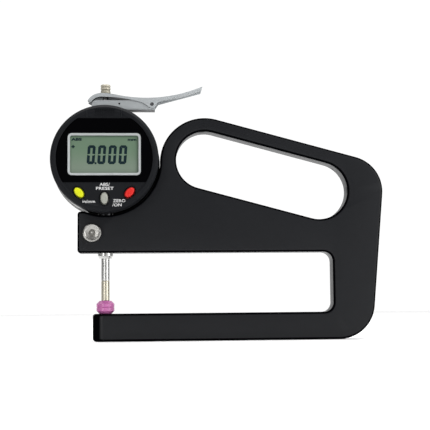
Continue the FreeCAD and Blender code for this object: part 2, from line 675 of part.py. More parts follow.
def build_case():
    """The cast case ring with its posts, the flat back cover and the four long screws."""
    ring = rod("case_ring", case_radius, dim.case_depth, 0, -dim.bezel_back,
               dial_z, ALONG_Y)
    hollow = rod("case_hollow", inner_radius, dim.case_depth + 2, 0, -dim.bezel_back - 1,
                 dial_z, ALONG_Y)
    shell = cut("case_shell", ring, [hollow])
    ball = rod("case_inside", inner_radius + 1, dim.case_depth, 0, -dim.bezel_back,
               dial_z, ALONG_Y)
    low = dial_z - inner_radius
    high = dial_z + inner_radius
    half = dim.post_half + 1.4
    foot_post = block("stem_post", (-half, -half, low - 1), (half, half, low + dim.post_height))
    head_post = block("bush_post", (-dim.post_half, -half, high - dim.post_height + 1),
                      (dim.post_half, half, high + 0.5))
    bar = block("guide_bar", (-dim.guide_bar_half, dim.guide_bar_near, low + 1),
                (dim.guide_bar_half, dim.guide_bar_near + dim.guide_bar_thick, high - 1))
    inside = common("case_posts", [fuse("case_post_blanks", [foot_post, head_post, bar]), ball])
    bosses = [rod("case_boss%d" % index, dim.boss_radius, dim.case_depth, x, -dim.bezel_back,
                  dial_z + z, ALONG_Y) for index, (x, z) in enumerate(boss_spots())]
    solid = fuse("case_solid", [shell, inside] + bosses)
    tools = [rod("case_screw_hole%d" % index, dim.case_screw_radius + dim.hole_clearance,
                 dim.case_depth + 2, x, -dim.bezel_back - 1, dial_z + z, ALONG_Y)
             for index, (x, z) in enumerate(boss_spots())]
    tools.append(rod("case_stem_hole", dim.stem_radius + dim.clamp_clearance,
                     dim.case_wall + dim.post_height + 4, z=low - dim.case_wall - 2))
    tools.append(rod("case_bush_hole", dim.bush_neck_radius + dim.seat_gap,
                     dim.case_wall + dim.post_height + 4, z=high - dim.post_height))
    tools.append(block("case_top_flat", (-case_radius, -dim.bezel_back - 1, bracket_foot),
                       (case_radius, case_back + 1, bracket_foot + 5)))
    pin_half = dim.guide_pin_radius + dim.running_clearance
    tools.append(block("guide_slot", (-pin_half, dim.guide_bar_near - 1,
                                      guide_pin_z - dim.guide_pin_radius - 1),
                       (pin_half, dim.guide_bar_near + dim.guide_bar_thick + 1,
                        guide_pin_z + dim.guide_pin_radius + dim.travel + 1)))
    keep("gauge_case", cut("gauge_case_cut", solid, tools))

    body = body_named("back_cover_body")
    outline = sketch_on(body, "XZ_Plane", "back_cover_outline")
    rim = case_radius + dim.cover_lip
    outline.addGeometry(Part.Circle(Vector(), Vector(0, 0, 1), rim.value), False)
    datum(outline, "Radius", 0, rim)
    pin_point(outline, 0, 3, 0, 0)
    pad(body, outline, "back_cover_plate", dim.cover_thick, backwards=True)
    outer = dim.cover_thick.value
    dress("Chamfer", body, "back_cover_edge", dim.cover_chamfer,
          lambda edge: edge.BoundBox.YLength < 1e-4 and abs(edge.BoundBox.YMin - outer) < 1e-4)
    place(body, 0, case_back, dial_z)
    holes = []
    screws = []
    thread = dim.bezel_front - dim.face_step - dim.face_thick - 1
    for index, (x, z) in enumerate(boss_spots()):
        height = dial_z + z
        holes.append(rod("cover_hole%d" % index, dim.case_screw_radius + dim.hole_clearance,
                         dim.cover_thick + 2, x, case_back - 1, height, ALONG_Y))
        seat = case_back + dim.cover_thick - dim.screw_head_height
        holes.append(rod("cover_seat%d" % index, dim.screw_head_radius + dim.hole_clearance,
                         dim.screw_head_height + 1, x, seat, height, ALONG_Y))
        shank = rod("case_screw_shank%d" % index, dim.case_screw_radius, seat + thread + 0.1,
                    x, -thread, height, ALONG_Y)
        head = rod("case_screw_head%d" % index, dim.screw_head_radius, dim.screw_head_height,
                   x, seat, height, ALONG_Y)
        screws.append(fuse("case_screw%d" % index, [shank, head]))
    keep("back_cover", cut("back_cover_cut", body, holes))
    keep("case_screws", group("case_screw_group", screws))


def bezel_blank(name):
    """The moulded front: a bevelled rim round a sunk face with a skirt behind it."""
    rim, front = dim.bezel_radius, -dim.bezel_front
    points = [
        (0, face_front), (rim - dim.rim_width - 0.5, face_front),
        (rim - dim.rim_width, front + 0.2), (rim - dim.rim_width + 0.3, front),
        (rim - dim.rim_bevel, front), (rim - 0.3, front + dim.rim_bevel * 0.7),
        (rim, front + dim.rim_bevel + 0.6), (rim, -dim.bezel_back),
        (rim - dim.bezel_wall, -dim.bezel_back), (rim - dim.bezel_wall, face_back),
        (0, face_back),
    ]
    return turned(name, points, "Y", z=dial_z)


def window_cutter(name, margin, front, back):
    """The window's outline: a circle with its top and bottom cut straight, grown by a margin."""
    disc = rod(name + "_disc", window_radius + margin, size(back) - size(front), 0, front,
               dial_z, ALONG_Y)
    reach = window_radius + 5
    band = block(name + "_band",
                 (-reach, size(front) - 1, dial_z - dim.window_bottom - margin),
                 (reach, size(back) + 1, dial_z + window_top + margin))
    return common(name, [disc, band])


def bay_block(name, margin, front_reach):
    """The battery cover's share of the front, from its foot to above the rim."""
    half = dim.cover_half - margin
    return block(name, (-half, -dim.bezel_front - front_reach,
                        dial_z + cover_foot + margin),
                 (half, -dim.bezel_back - 1.2 - margin, dial_z + dim.bezel_radius + 3))


def key_list():
    """Name, place across and up from the dial's centre, and lean of each key."""
    swing, lean = dim.key_spread, dim.key_turn
    across, down = key_circle * sine(swing), -key_circle * cosine(swing)
    return [("key_left", -across, down, -lean), ("key_middle", size(0), -key_middle_drop, size(90)),
            ("key_right", across, down, lean)]


def build_front():
    """The bezel with its openings, the window, the display and its bright trim."""
    blank = bezel_blank("bezel_blank")
    bosses = []
    tools = []
    for index, (x, z) in enumerate(boss_spots()):
        height = dial_z + z
        bosses.append(rod("bezel_boss%d" % index, dim.boss_radius, -dim.bezel_back - face_back + 0.5,
                          x, face_back - 0.5, height, ALONG_Y))
        tools.append(rod("bezel_screw_hole%d" % index, dim.case_screw_radius + dim.hole_clearance,
                         -dim.bezel_back - face_back + 1, x, face_back, height, ALONG_Y))
    solid = fuse("bezel_solid", [blank] + bosses)
    seat_depth = dim.window_step + dim.window_thick
    tools.append(window_cutter("window_seat", dim.fit_gap, face_front - 1,
                               face_front - dim.window_step + seat_depth))
    tools.append(window_cutter("window_hole", -dim.window_ledge, face_front, face_back + 1))
    tools.append(bay_block("battery_bay", size(0), 1))
    for name, x, z, lean in key_list():
        height = dial_z + z
        tools.append(oval(name + "_hole", dim.key_half_long + dim.key_clear,
                          dim.key_half_short + dim.key_clear, face_front - 1, dim.face_thick + 2,
                          x, height, lean))
        tools.append(oval(name + "_well", dim.key_half_long + dim.key_well,
                          dim.key_half_short + dim.key_well, face_front - 1,
                          dim.key_well_depth + 1, x, height, lean))
    keep("front_bezel", cut("front_bezel_cut", solid, tools))

    front = face_front - dim.window_step
    pane = window_cutter("window_blank", size(0), front, front + dim.window_thick)
    middle = dim.trim_rise
    opening = block("trim_opening",
                    (-trim_width / 2 - dim.fit_gap, front - 1,
                     dial_z + middle - trim_height / 2 - dim.fit_gap),
                    (trim_width / 2 + dim.fit_gap, front + dim.window_thick + 1,
                     dial_z + middle + trim_height / 2 + dim.fit_gap))
    keep("window_panel", cut("window_panel_cut", pane, [opening]))

    low, high = middle - trim_height / 2, middle + trim_height / 2
    half, trim_front = trim_width / 2, front - 0.1
    outer = panel("trim_outer", half, low, high, trim_front, dim.trim_thick, dim.trim_corner)
    inner = panel("trim_inner", half - dim.trim_border, low + dim.trim_border,
                  high - dim.trim_border, trim_front - 1, dim.trim_thick + 2,
                  dim.trim_corner - dim.trim_border)
    keep("display_trim", cut("display_trim_cut", outer, [inner]))
    inset = dim.trim_border - dim.display_margin
    module_front = front + dim.window_thick + 0.05
    display = panel("display_body", half - inset, low + inset, high - inset,
                    module_front, dim.display_thick, size(0.6))
    keep("display_module", display)


def build_keys():
    """Three oval keys with flanges behind the face, and the rubber pad that returns them."""
    head_front = face_front - dim.key_proud
    for name, x, z, lean in key_list():
        height = dial_z + z
        stem = oval(name + "_stem", dim.key_half_long, dim.key_half_short, head_front,
                    dim.key_proud + dim.face_thick + dim.key_gap, x, height, lean)
        doc.recompute()
        crown = doc.addObject("Part::Fillet", name + "_crown")
        crown.Base = stem
        front_y = head_front.value
        names = edge_names(stem.Shape, lambda edge: abs(edge.BoundBox.YMax - front_y) < 1e-3
                           and edge.BoundBox.YLength < 1e-3)
        round_size = min(dim.key_round.value, 0.45 * dim.key_half_short.value)
        crown.Edges = [(int(edge[4:]), round_size, round_size) for edge in names]
        flange = oval(name + "_flange", dim.key_half_long + dim.key_flange,
                      dim.key_half_short + dim.key_flange, face_back + dim.key_gap,
                      dim.key_flange_thick, x, height, lean)
        keep(name, fuse(name + "_solid", [crown, flange]))
    back = -dim.board_front
    disc = rod("pad_disc", board_radius - dim.pad_inset, dim.pad_thick, 0, back - dim.pad_thick,
               dial_z, ALONG_Y)
    band = block("pad_band", (-dim.pad_half, back - dim.pad_thick - 1,
                              dial_z - pad_bottom),
                 (dim.pad_half, back + 1, dial_z - pad_top))
    sheet_pad = common("pad_sheet", [disc, band])
    dome_front = face_back + dim.key_gap + dim.key_flange_thick + dim.key_travel + 0.05
    domes = [rod(name + "_dome", dim.pad_dome_radius, back - dome_front, x, dome_front,
                 dial_z + z, ALONG_Y) for name, x, z, lean in key_list()]
    keep("key_pad", fuse("key_pad_solid", [sheet_pad] + domes))


def build_electronics():
    """Circuit board, coin cell with its contact strips and the ribbed battery cover."""
    disc = rod("board_disc", board_radius, dim.board_thick, 0, -dim.board_front,
               dial_z, ALONG_Y)
    tools = [block("board_bay", (-dim.bay_half, -dim.board_front - 1,
                                 dial_z + cell_rise - dim.cell_radius - dim.fit_gap * 3),
                   (dim.bay_half, -dim.board_front + dim.board_thick + 1,
                    dial_z + board_radius + 1))]
    for index, (x, z) in enumerate(boss_spots()):
        tools.append(rod("board_hole%d" % index, dim.boss_radius + dim.fit_gap,
                         dim.board_thick + 2, x, -dim.board_front - 1, dial_z + z, ALONG_Y))
    keep("main_board", cut("main_board_cut", disc, tools))
    cell_z = dial_z + cell_rise
    strip = dim.contact_thick
    cell_back = -dim.bezel_back - 0.5 - strip
    cell_front = cell_back - dim.cell_thick
    cell_body = rod("coin_cell_body", dim.cell_radius, dim.cell_thick, 0, cell_front, cell_z, ALONG_Y)
    doc.recompute()
    cell = doc.addObject("Part::Chamfer", "coin_cell_edges")
    cell.Base = cell_body
    cell.Edges = [(int(edge[4:]), 0.4, 0.4) for edge in
                  edge_names(cell_body.Shape, lambda edge: edge.BoundBox.YLength < 1e-3)]
    keep("coin_cell", cell)
    half, low, high = dim.contact_half, cell_z - dim.cell_radius, cell_z + dim.cell_radius
    front_strip = block("front_strip", (-half, cell_front - strip - 0.02, low),
                        (half, cell_front - 0.02, high))
    back_strip = block("back_strip", (-half, cell_back + 0.02, low),
                       (half, cell_back + strip + 0.02, high))
    keep("battery_contacts", group("battery_contact_group", [front_strip, back_strip]))
    share = common("battery_cover_blank",
                   [bezel_blank("cover_blank"), bay_block("battery_cover_share", dim.fit_gap, 2)])
    ribs = []
    count = int(dim.rib_count.value)
    foot = dial_z + cover_foot + 0.5
    for index in range(count):
        middle = (index - (count - 1) / 2) * dim.rib_pitch
        ribs.append(block("grip_groove%d" % index,
                          (middle - dim.rib_width / 2, -dim.bezel_front - 1, foot),
                          (middle + dim.rib_width / 2, -dim.bezel_front + dim.face_step
                           + dim.rib_depth, foot + dim.rib_length)))
    keep("battery_cover", cut("battery_cover_cut", share, ribs))


def build_carrier():
    """What the spindle carries inside: a clamped block with the scale strip and a guide pin."""
    scale_back = -dim.board_front + dim.board_thick + dim.scale_gap + dim.scale_thick
    block_body = block("carrier_block", (-dim.carrier_half, scale_back, carrier_foot),
                       (dim.carrier_half, dim.carrier_back, carrier_top))
    bore = rod("carrier_bore", dim.spindle_radius + dim.clamp_clearance,
               carrier_top - carrier_foot + 2, z=carrier_foot - 1)
    socket = rod("carrier_pin_socket", dim.guide_pin_radius + dim.clamp_clearance,
                 dim.carrier_back + 1, 0, 0, guide_pin_z, ALONG_Y)
    keep("scale_carrier", cut("scale_carrier_cut", block_body, [bore, socket]))
    strip = block("scale_strip_body", (-dim.scale_half, scale_back - dim.scale_thick, scale_foot),
                  (dim.scale_half, scale_back, carrier_top))
    keep("scale_strip", strip)
    start = dim.spindle_radius + 0.1
    pin = rod("guide_pin_body", dim.guide_pin_radius,
              dim.guide_bar_near + dim.guide_bar_thick - 0.2 - start, 0, start,
              guide_pin_z, ALONG_Y)
    keep("guide_pin", pin)


def build_spring():
    """The return spring: a coil round the spindle's neck, from the carrier to the bush."""
    wire = dim.spring_wire.value
    low = carrier_top.value + 0.05
    high = bush_seat.value - dim.bush_neck_length.value - 0.05
    rise = high - low - wire
    turns, radius = dim.spring_turns.value, dim.spring_radius.value
    helix = Part.makeHelix(rise / turns, rise, radius)
    helix.translate(Vector(0, 0, low + wire / 2))
    slope = math.atan2(rise / turns, 2 * math.pi * radius)
    start = Vector(radius, 0, low + wire / 2)
    heading = Vector(0, math.cos(slope), math.sin(slope))
    across = Vector(1, 0, 0)
    along = heading.cross(across)
    corners = [start + across * (wire / 2 * math.cos(math.radians(60 * index)))
               + along * (wire / 2 * math.sin(math.radians(60 * index))) for index in range(7)]
    section = Part.makePolygon(corners)
    coil = Part.Wire(helix).makePipeShell([section], True, True)
    spring = doc.addObject("Part::Feature", "return_spring_coil")
    spring.Shape = coil
    keep("return_spring", spring)


def build_bracket():
    """The bent channel that carries the lever, with its pivot pin and spacer rivet."""
    right = dim.pivot_x + dim.bracket_tail
    body = body_named("bracket_body")
    outline = sketch_on(body, "XZ_Plane", "bracket_outline")
    top = bracket_foot + dim.bracket_height
    polygon(outline, [(-dim.bracket_left, bracket_foot), (right, bracket_foot), (right, top),
                      (-dim.bracket_left, top)])
    pad(body, outline, "bracket_solid", dim.bracket_half * 2, both_ways=True)
    foot, peak, far = bracket_foot.value, top.value, right.value

    def corner(edge, at_right):
        point = edge.CenterOfMass
        side = far if at_right else -dim.bracket_left.value
        return runs_along_y(edge) and abs(point.z - peak) < 1e-4 and abs(point.x - side) < 1e-4

    dress("Fillet", body, "bracket_right_corner", dim.bracket_round, lambda edge: corner(edge, True))
    dress("Fillet", body, "bracket_left_corner", dim.bracket_left_round,
          lambda edge: corner(edge, False))
    dress("Fillet", body, "bracket_bends", dim.bend_round,
          lambda edge: edge.BoundBox.XLength > 10 and abs(edge.BoundBox.ZMax - foot) < 1e-4)
    inner = dim.bracket_half - dim.sheet_thick
    channel = block("bracket_channel", (-dim.bracket_left - 1, -inner, bush_seat),
                    (right + 1, inner, top + 1))
    bush_hole = rod("bracket_bush_hole", dim.bush_neck_radius + dim.seat_gap,
                    dim.sheet_thick + 2, z=bracket_foot - 1)
    pin_hole = rod("bracket_pin_hole", dim.pin_radius + dim.seat_gap, dim.bracket_half * 2 + 2,
                   dim.pivot_x, -dim.bracket_half - 1, pivot_z, ALONG_Y)
    rivet_z = top - dim.rivet_drop
    rivet_hole = rod("bracket_rivet_hole", dim.rivet_radius + dim.seat_gap,
                     dim.bracket_half * 2 + 2, dim.rivet_x, -dim.bracket_half - 1, rivet_z, ALONG_Y)
    keep("lever_bracket", cut("lever_bracket_cut", body, [channel, bush_hole, pin_hole, rivet_hole]))
    outside = dim.bracket_half + dim.lever_gap + dim.sheet_thick + 0.15
    keep("pivot_pin", rod("pivot_pin_body", dim.pin_radius, outside * 2, dim.pivot_x, -outside,
                          pivot_z, ALONG_Y))
    keep("spacer_rivet", rod("spacer_rivet_body", dim.rivet_radius, dim.bracket_half * 2,
                             dim.rivet_x, -dim.bracket_half, rivet_z, ALONG_Y))


def lever_crest(inset):
    """Numbers of the lever's top edge, moved in by an inset: centres and where its arcs meet."""
    hook = (-dim.hook_x.value, crest_z.value - dim.hook_radius.value)
    crest = (hook[0], crest_z.value - dim.crest_radius.value)
    reach = dim.crest_radius.value + dim.arm_radius.value
    across = dim.arm_low_x.value - crest[0]
    arm = (dim.arm_low_x.value, crest[1] + math.sqrt(reach ** 2 - across ** 2))
    turn = math.degrees(math.atan2(arm[1] - crest[1], arm[0] - crest[0]))
    radii = (dim.hook_radius.value - inset, dim.crest_radius.value - inset,
             dim.arm_radius.value + inset)
    return hook, crest, arm, turn, radii


def lever_outline(sketch):
    """The lever seen from the front, anticlockwise from the inside of its hooked end."""
    hook, crest, arm, turn, radii = lever_crest(0)
    outer, top, bow = radii
    inner = outer - dim.hook_band.value
    end = 180 - math.degrees(math.asin((hook_end_z.value - hook[1]) / outer))
    end_way = (math.cos(math.radians(end)), math.sin(math.radians(end)))
    cheek = dim.cheek_radius.value
    cheek_low = (hook[0], hook[1] + inner - cheek)
    cheek_x = dim.cheek_end_x.value
    cheek_turn = math.degrees(math.acos((cheek_x - cheek_low[0]) / cheek))
    cheek_end = (cheek_x, cheek_low[1] + cheek * math.sin(math.radians(cheek_turn)))
    pivot, lobe = (dim.pivot_x.value, pivot_z.value), dim.lobe_radius.value
    heel = (dim.heel_x.value, heel_z.value)

    def touch(point, side):
        """Angle at the pivot where a line from a point touches the lobe."""
        away = math.degrees(math.atan2(point[1] - pivot[1], point[0] - pivot[0]))
        spread = math.degrees(math.acos(lobe / math.dist(point, pivot)))
        return away + side * spread

    first, last = touch(cheek_end, 1) % 360, touch(heel, -1) % 360
    first_spot = (pivot[0] + lobe * math.cos(math.radians(first)),
                  pivot[1] + lobe * math.sin(math.radians(first)))
    last_spot = (pivot[0] + lobe * math.cos(math.radians(last)),
                 pivot[1] + lobe * math.sin(math.radians(last)))
    tip_low = (dim.tip_low_x.value, tip_low_z.value)
    tip_turn = -math.degrees(math.acos((dim.tip_x.value - arm[0]) / bow))
    tip = (dim.tip_x.value, arm[1] + bow * math.sin(math.radians(tip_turn)))
    outer_end = (hook[0] + outer * end_way[0], hook[1] + outer * end_way[1])
    inner_end = (hook[0] + inner * end_way[0], hook[1] + inner * end_way[1])
    pieces = [
        curve(hook, inner, end, 90),
        curve(cheek_low, cheek, 90, cheek_turn),
        straight(cheek_end, first_spot),
        curve(pivot, lobe, first, last),
        straight(last_spot, heel),
        straight(heel, tip_low),
        straight(tip_low, tip),
        curve(arm, bow, tip_turn, turn - 180),
        curve(crest, top, turn, 90),
        curve(hook, outer, 90, end),
        straight(outer_end, inner_end),
    ]
    chain(sketch, pieces, smooth={0, 2, 3, 7, 8})
    sketch.addConstraint(Sketcher.Constraint("Coincident", 0, 3, 9, 3))
    sketch.addConstraint(Sketcher.Constraint("PointOnObject", 9, 3, 10))
    for piece, radius in ((0, dim.hook_radius - dim.hook_band), (1, dim.cheek_radius),
                          (3, dim.lobe_radius), (7, dim.arm_radius), (8, dim.crest_radius),
                          (9, dim.hook_radius)):
        datum(sketch, "Radius", piece, radius)
    pin_point(sketch, 9, 3, -dim.hook_x, crest_z - dim.hook_radius)
    pin_point(sketch, 1, 3, x=-dim.hook_x)
    pin_point(sketch, 8, 3, x=-dim.hook_x)
    pin_point(sketch, 3, 3, dim.pivot_x, pivot_z)
    pin_point(sketch, 7, 3, x=dim.arm_low_x)
    pin_point(sketch, 2, 1, x=dim.cheek_end_x)
    pin_point(sketch, 5, 1, dim.heel_x, heel_z)
    pin_point(sketch, 6, 1, dim.tip_low_x, tip_low_z)
    pin_point(sketch, 7, 2, x=dim.tip_x)
    pin_point(sketch, 10, 1, z=hook_end_z)


def lever_hollow(sketch):
    """The space under the lever's top sheet, open below and at both ends."""
    sheet_value = dim.sheet_thick.value
    hook, crest, arm, turn, radii = lever_crest(sheet_value)
    outer, top, bow = radii
    low, right = pivot_z.value - 8, dim.tip_x.value + 4
    tip_turn = -math.degrees(math.acos((right - arm[0]) / bow))
    tip = (right, arm[1] + bow * math.sin(math.radians(tip_turn)))
    left = (hook[0] - outer, hook[1])
    pieces = [
        straight((left[0], low), (right, low)),
        straight((right, low), tip),
        curve(arm, bow, tip_turn, turn - 180),
        curve(crest, top, turn, 90),
        curve(hook, outer, 90, 180),
        straight(left, (left[0], low)),
    ]
    chain(sketch, pieces, smooth={2, 3, 4})
    sketch.addConstraint(Sketcher.Constraint("Horizontal", 0))
    sketch.addConstraint(Sketcher.Constraint("Vertical", 1))
    sketch.addConstraint(Sketcher.Constraint("Vertical", 5))
    for piece, radius in ((2, dim.arm_radius + dim.sheet_thick), (3, dim.crest_radius - dim.sheet_thick),
                          (4, dim.hook_radius - dim.sheet_thick)):
        datum(sketch, "Radius", piece, radius)
    pin_point(sketch, 4, 3, -dim.hook_x, crest_z - dim.hook_radius)
    pin_point(sketch, 3, 3, x=-dim.hook_x)
    pin_point(sketch, 2, 3, x=dim.arm_low_x)
    pin_point(sketch, 1, 1, dim.tip_x + 4, pivot_z - 8)


def build_lever():
    """The lifting lever: one folded sheet, forked under the cap and hung on the pivot."""
    half = dim.bracket_half + dim.lever_gap + dim.sheet_thick
    body = body_named("lever_body")
    outline = sketch_on(body, "XZ_Plane", "lever_outline")
    lever_outline(outline)
    pad(body, outline, "lever_solid", half * 2, both_ways=True)
    hollow = sketch_on(body, "XZ_Plane", "lever_hollow_outline")
    lever_hollow(hollow)
    pocket(body, hollow, "lever_hollow", (half - dim.sheet_thick) * 2, both_ways=True)
    slot = block("fork_slot", (-dim.hook_x - dim.hook_radius - 1, -dim.fork_half, pivot_z - 8),
                 (dim.fork_end - dim.fork_half, dim.fork_half, crest_z + 2))
    slot_end = rod("fork_slot_end", dim.fork_half, crest_z - pivot_z + 10,
                   dim.fork_end - dim.fork_half, 0, pivot_z - 8)
    pin_hole = rod("lever_pin_hole", dim.pin_radius + dim.running_clearance, half * 2 + 2,
                   dim.pivot_x, -half - 1, pivot_z, ALONG_Y)
    keep("lift_lever", cut("lift_lever_cut", body, [slot, slot_end, pin_hole]))


def check_and_write():
    """Recomputes the document, looks for failed objects and writes one file a node."""
    doc.recompute()
    for item in doc.Objects:
        if "Invalid" in item.State or "Error" in item.State:
            raise RuntimeError("%s failed: %s" % (item.Name, item.State))
    os.makedirs("parts", exist_ok=True)
    for node, item in parts.items():
        shape = item.Shape
        if shape.isNull() or not shape.isValid() or not shape.Solids:
            raise RuntimeError(node + " has no valid solid")
        shape.exportStep("parts/%s.step" % node)
        print("%-18s %d solid(s) %10.1f mm3" % (node, len(shape.Solids), shape.Volume))


build_frame()
build_clamp_screw()
build_contacts()
build_spindle()
build_case()
build_front()
build_keys()
build_electronics()
build_carrier()
build_spring()
build_bracket()
build_lever()
check_and_write()
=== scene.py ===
import json
import math

import bmesh
import bpy
from mathutils import Matrix, Vector


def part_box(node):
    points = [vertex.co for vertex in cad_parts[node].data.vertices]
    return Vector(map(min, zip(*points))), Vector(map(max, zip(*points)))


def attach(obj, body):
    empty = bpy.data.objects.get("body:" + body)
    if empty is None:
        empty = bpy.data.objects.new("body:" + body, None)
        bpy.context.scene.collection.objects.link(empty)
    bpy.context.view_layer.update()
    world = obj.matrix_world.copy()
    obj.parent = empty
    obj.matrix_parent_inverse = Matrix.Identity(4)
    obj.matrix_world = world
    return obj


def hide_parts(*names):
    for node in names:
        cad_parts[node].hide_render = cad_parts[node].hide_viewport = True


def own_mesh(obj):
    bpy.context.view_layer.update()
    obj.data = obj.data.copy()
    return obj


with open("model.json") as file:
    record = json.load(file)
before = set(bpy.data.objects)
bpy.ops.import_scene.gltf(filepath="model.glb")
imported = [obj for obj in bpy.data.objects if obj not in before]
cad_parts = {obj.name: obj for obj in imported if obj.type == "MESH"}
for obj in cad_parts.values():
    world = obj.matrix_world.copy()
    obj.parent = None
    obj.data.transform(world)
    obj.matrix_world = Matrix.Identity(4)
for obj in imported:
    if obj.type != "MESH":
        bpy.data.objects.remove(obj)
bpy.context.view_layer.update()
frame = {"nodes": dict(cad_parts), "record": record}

# Digital thickness gauge: finishes, display, labels and studio.
# Metres, Z up along the spindle, X from the spindle into the throat, Y from the display backwards.

MM = 0.001
RADIAN = math.pi / 180

# Places repeated from the model's source, in millimetres and degrees
DIAL_Z = 94.65  # centre of the dial
FACE_Y = -14.8  # the bezel's sunk face
DISPLAY_Y = -14.0  # front of the display
TRIM_RISE = 1.9  # centre of the display above the dial's
TRIM_HALF_WIDE, TRIM_HALF_HIGH, TRIM_CORNER = 18.8, 10.95, 2.0  # opening of the display's trim
BRACKET_FOOT = 122.0  # underside of the lever's bracket
CASE_SEAT = 27.2  # radius beyond which the case is dark next to the frame
SCREW_CIRCLE = 23.6
SCREW_ANGLES = (45, 135, 213, 327)
SCREW_TOP, SCREW_TIP = 10.0, -11.8  # both along Y
SPRING_FOOT, SPRING_TOP = 97.6, 116.15
# The bezel's profile: radius, and step in front of the sunk face as a negative Y
BEZEL_PROFILE = ((24.4, 0.0), (25.0, -0.5), (25.3, -0.7), (26.5, -0.7), (27.8, 0.42))

# Where the pieces made here differ from the source, in millimetres
STEM_DROP = 0.7  # the photo shows the stem's foot this much lower
INK_THICK = 0.02
INK_LIFT = 0.03  # display ink in front of the display
LONGEST_EDGE = 0.25  # of lettering laid over a step

MERGE_DISTANCE = 2e-6  # metres
SHARP_ANGLE = 24 * RADIAN


def mm(x, y, z):
    """A point given in millimetres, as a vector in metres."""
    return Vector((x * MM, y * MM, z * MM))


def object_of(mesh, name):
    """A new object in the scene with this mesh or other data."""
    piece = bpy.data.objects.new(name, mesh)
    bpy.context.scene.collection.objects.link(piece)
    return piece


def soften(mesh):
    """Merges doubled corners and shades smooth all but the sharp edges."""
    work = bmesh.new()
    work.from_mesh(mesh)
    bmesh.ops.remove_doubles(work, verts=work.verts, dist=MERGE_DISTANCE)
    for edge in work.edges:
        edge.smooth = len(edge.link_faces) == 2 and edge.calc_face_angle(0.0) < SHARP_ANGLE
    for face in work.faces:
        face.smooth = True
    work.to_mesh(mesh)
    work.free()


# Shader maths as Python expressions

class Wire:
    """An output socket in a node tree; operators on wires add Math nodes."""

    def __init__(self, owner, socket):
        self.owner = owner
        self.socket = socket

    def work(self, operation, *others, clamp=False):
        settings = {"operation": operation, "use_clamp": clamp}
        return self.owner.node("ShaderNodeMath", settings, [self, *others])

    def __add__(self, other):
        return self.work("ADD", other)

    __radd__ = __add__

    def __sub__(self, other):
        return self.work("SUBTRACT", other)

    def __rsub__(self, other):
        return self.owner.node("ShaderNodeMath", {"operation": "SUBTRACT"}, [other, self])

    def __mul__(self, other):
        return self.work("MULTIPLY", other)

    __rmul__ = __mul__

    def __truediv__(self, other):
        return self.work("DIVIDE", other)

    def sine(self):
        return self.work("SINE")

    def root(self):
        return self.work("SQRT")

    def clipped(self):
        """Cut to 0..1."""
        return self.work("ADD", 0.0, clamp=True)

    def at_least(self, other):
        return self.work("MAXIMUM", other)

    def magnitude(self):
        """The value without its sign."""
        return self.at_least(0.0 - self)

    def over(self, low, high):
        """0 on low's side, 1 on high's side, smooth between them."""
        return self.owner.node("ShaderNodeMapRange", {"interpolation_type": "SMOOTHSTEP"},
                               {"Value": self, "From Min": low, "From Max": high}, "Result")


class Tree:
    """A node tree whose nodes are added, set and fed in one call."""

    def feed(self, socket, value):
        """Links a wire to a socket or sets its constant; a colour gets an alpha of 1."""
        if isinstance(value, Wire):
            self.tree.links.new(value.socket, socket)
        elif socket.type == "RGBA" and len(value) == 3:
            socket.default_value = (*value, 1.0)
        else:
            socket.default_value = value

    def node(self, kind, settings, values, output=0):
        """Adds a node and gives one of its outputs."""
        item = self.tree.nodes.new(kind)
        for key, value in settings.items():
            setattr(item, key, value)
        for key, value in values.items() if isinstance(values, dict) else enumerate(values):
            self.feed(item.inputs[key], value)
        return Wire(self, item.outputs[output])

    def axes(self, place):
        """The three parts of a vector."""
        item = self.tree.nodes.new("ShaderNodeSeparateXYZ")
        self.feed(item.inputs[0], place)
        return [Wire(self, part) for part in item.outputs]

    def join(self, x, y, z):
        return self.node("ShaderNodeCombineXYZ", {}, [x, y, z])


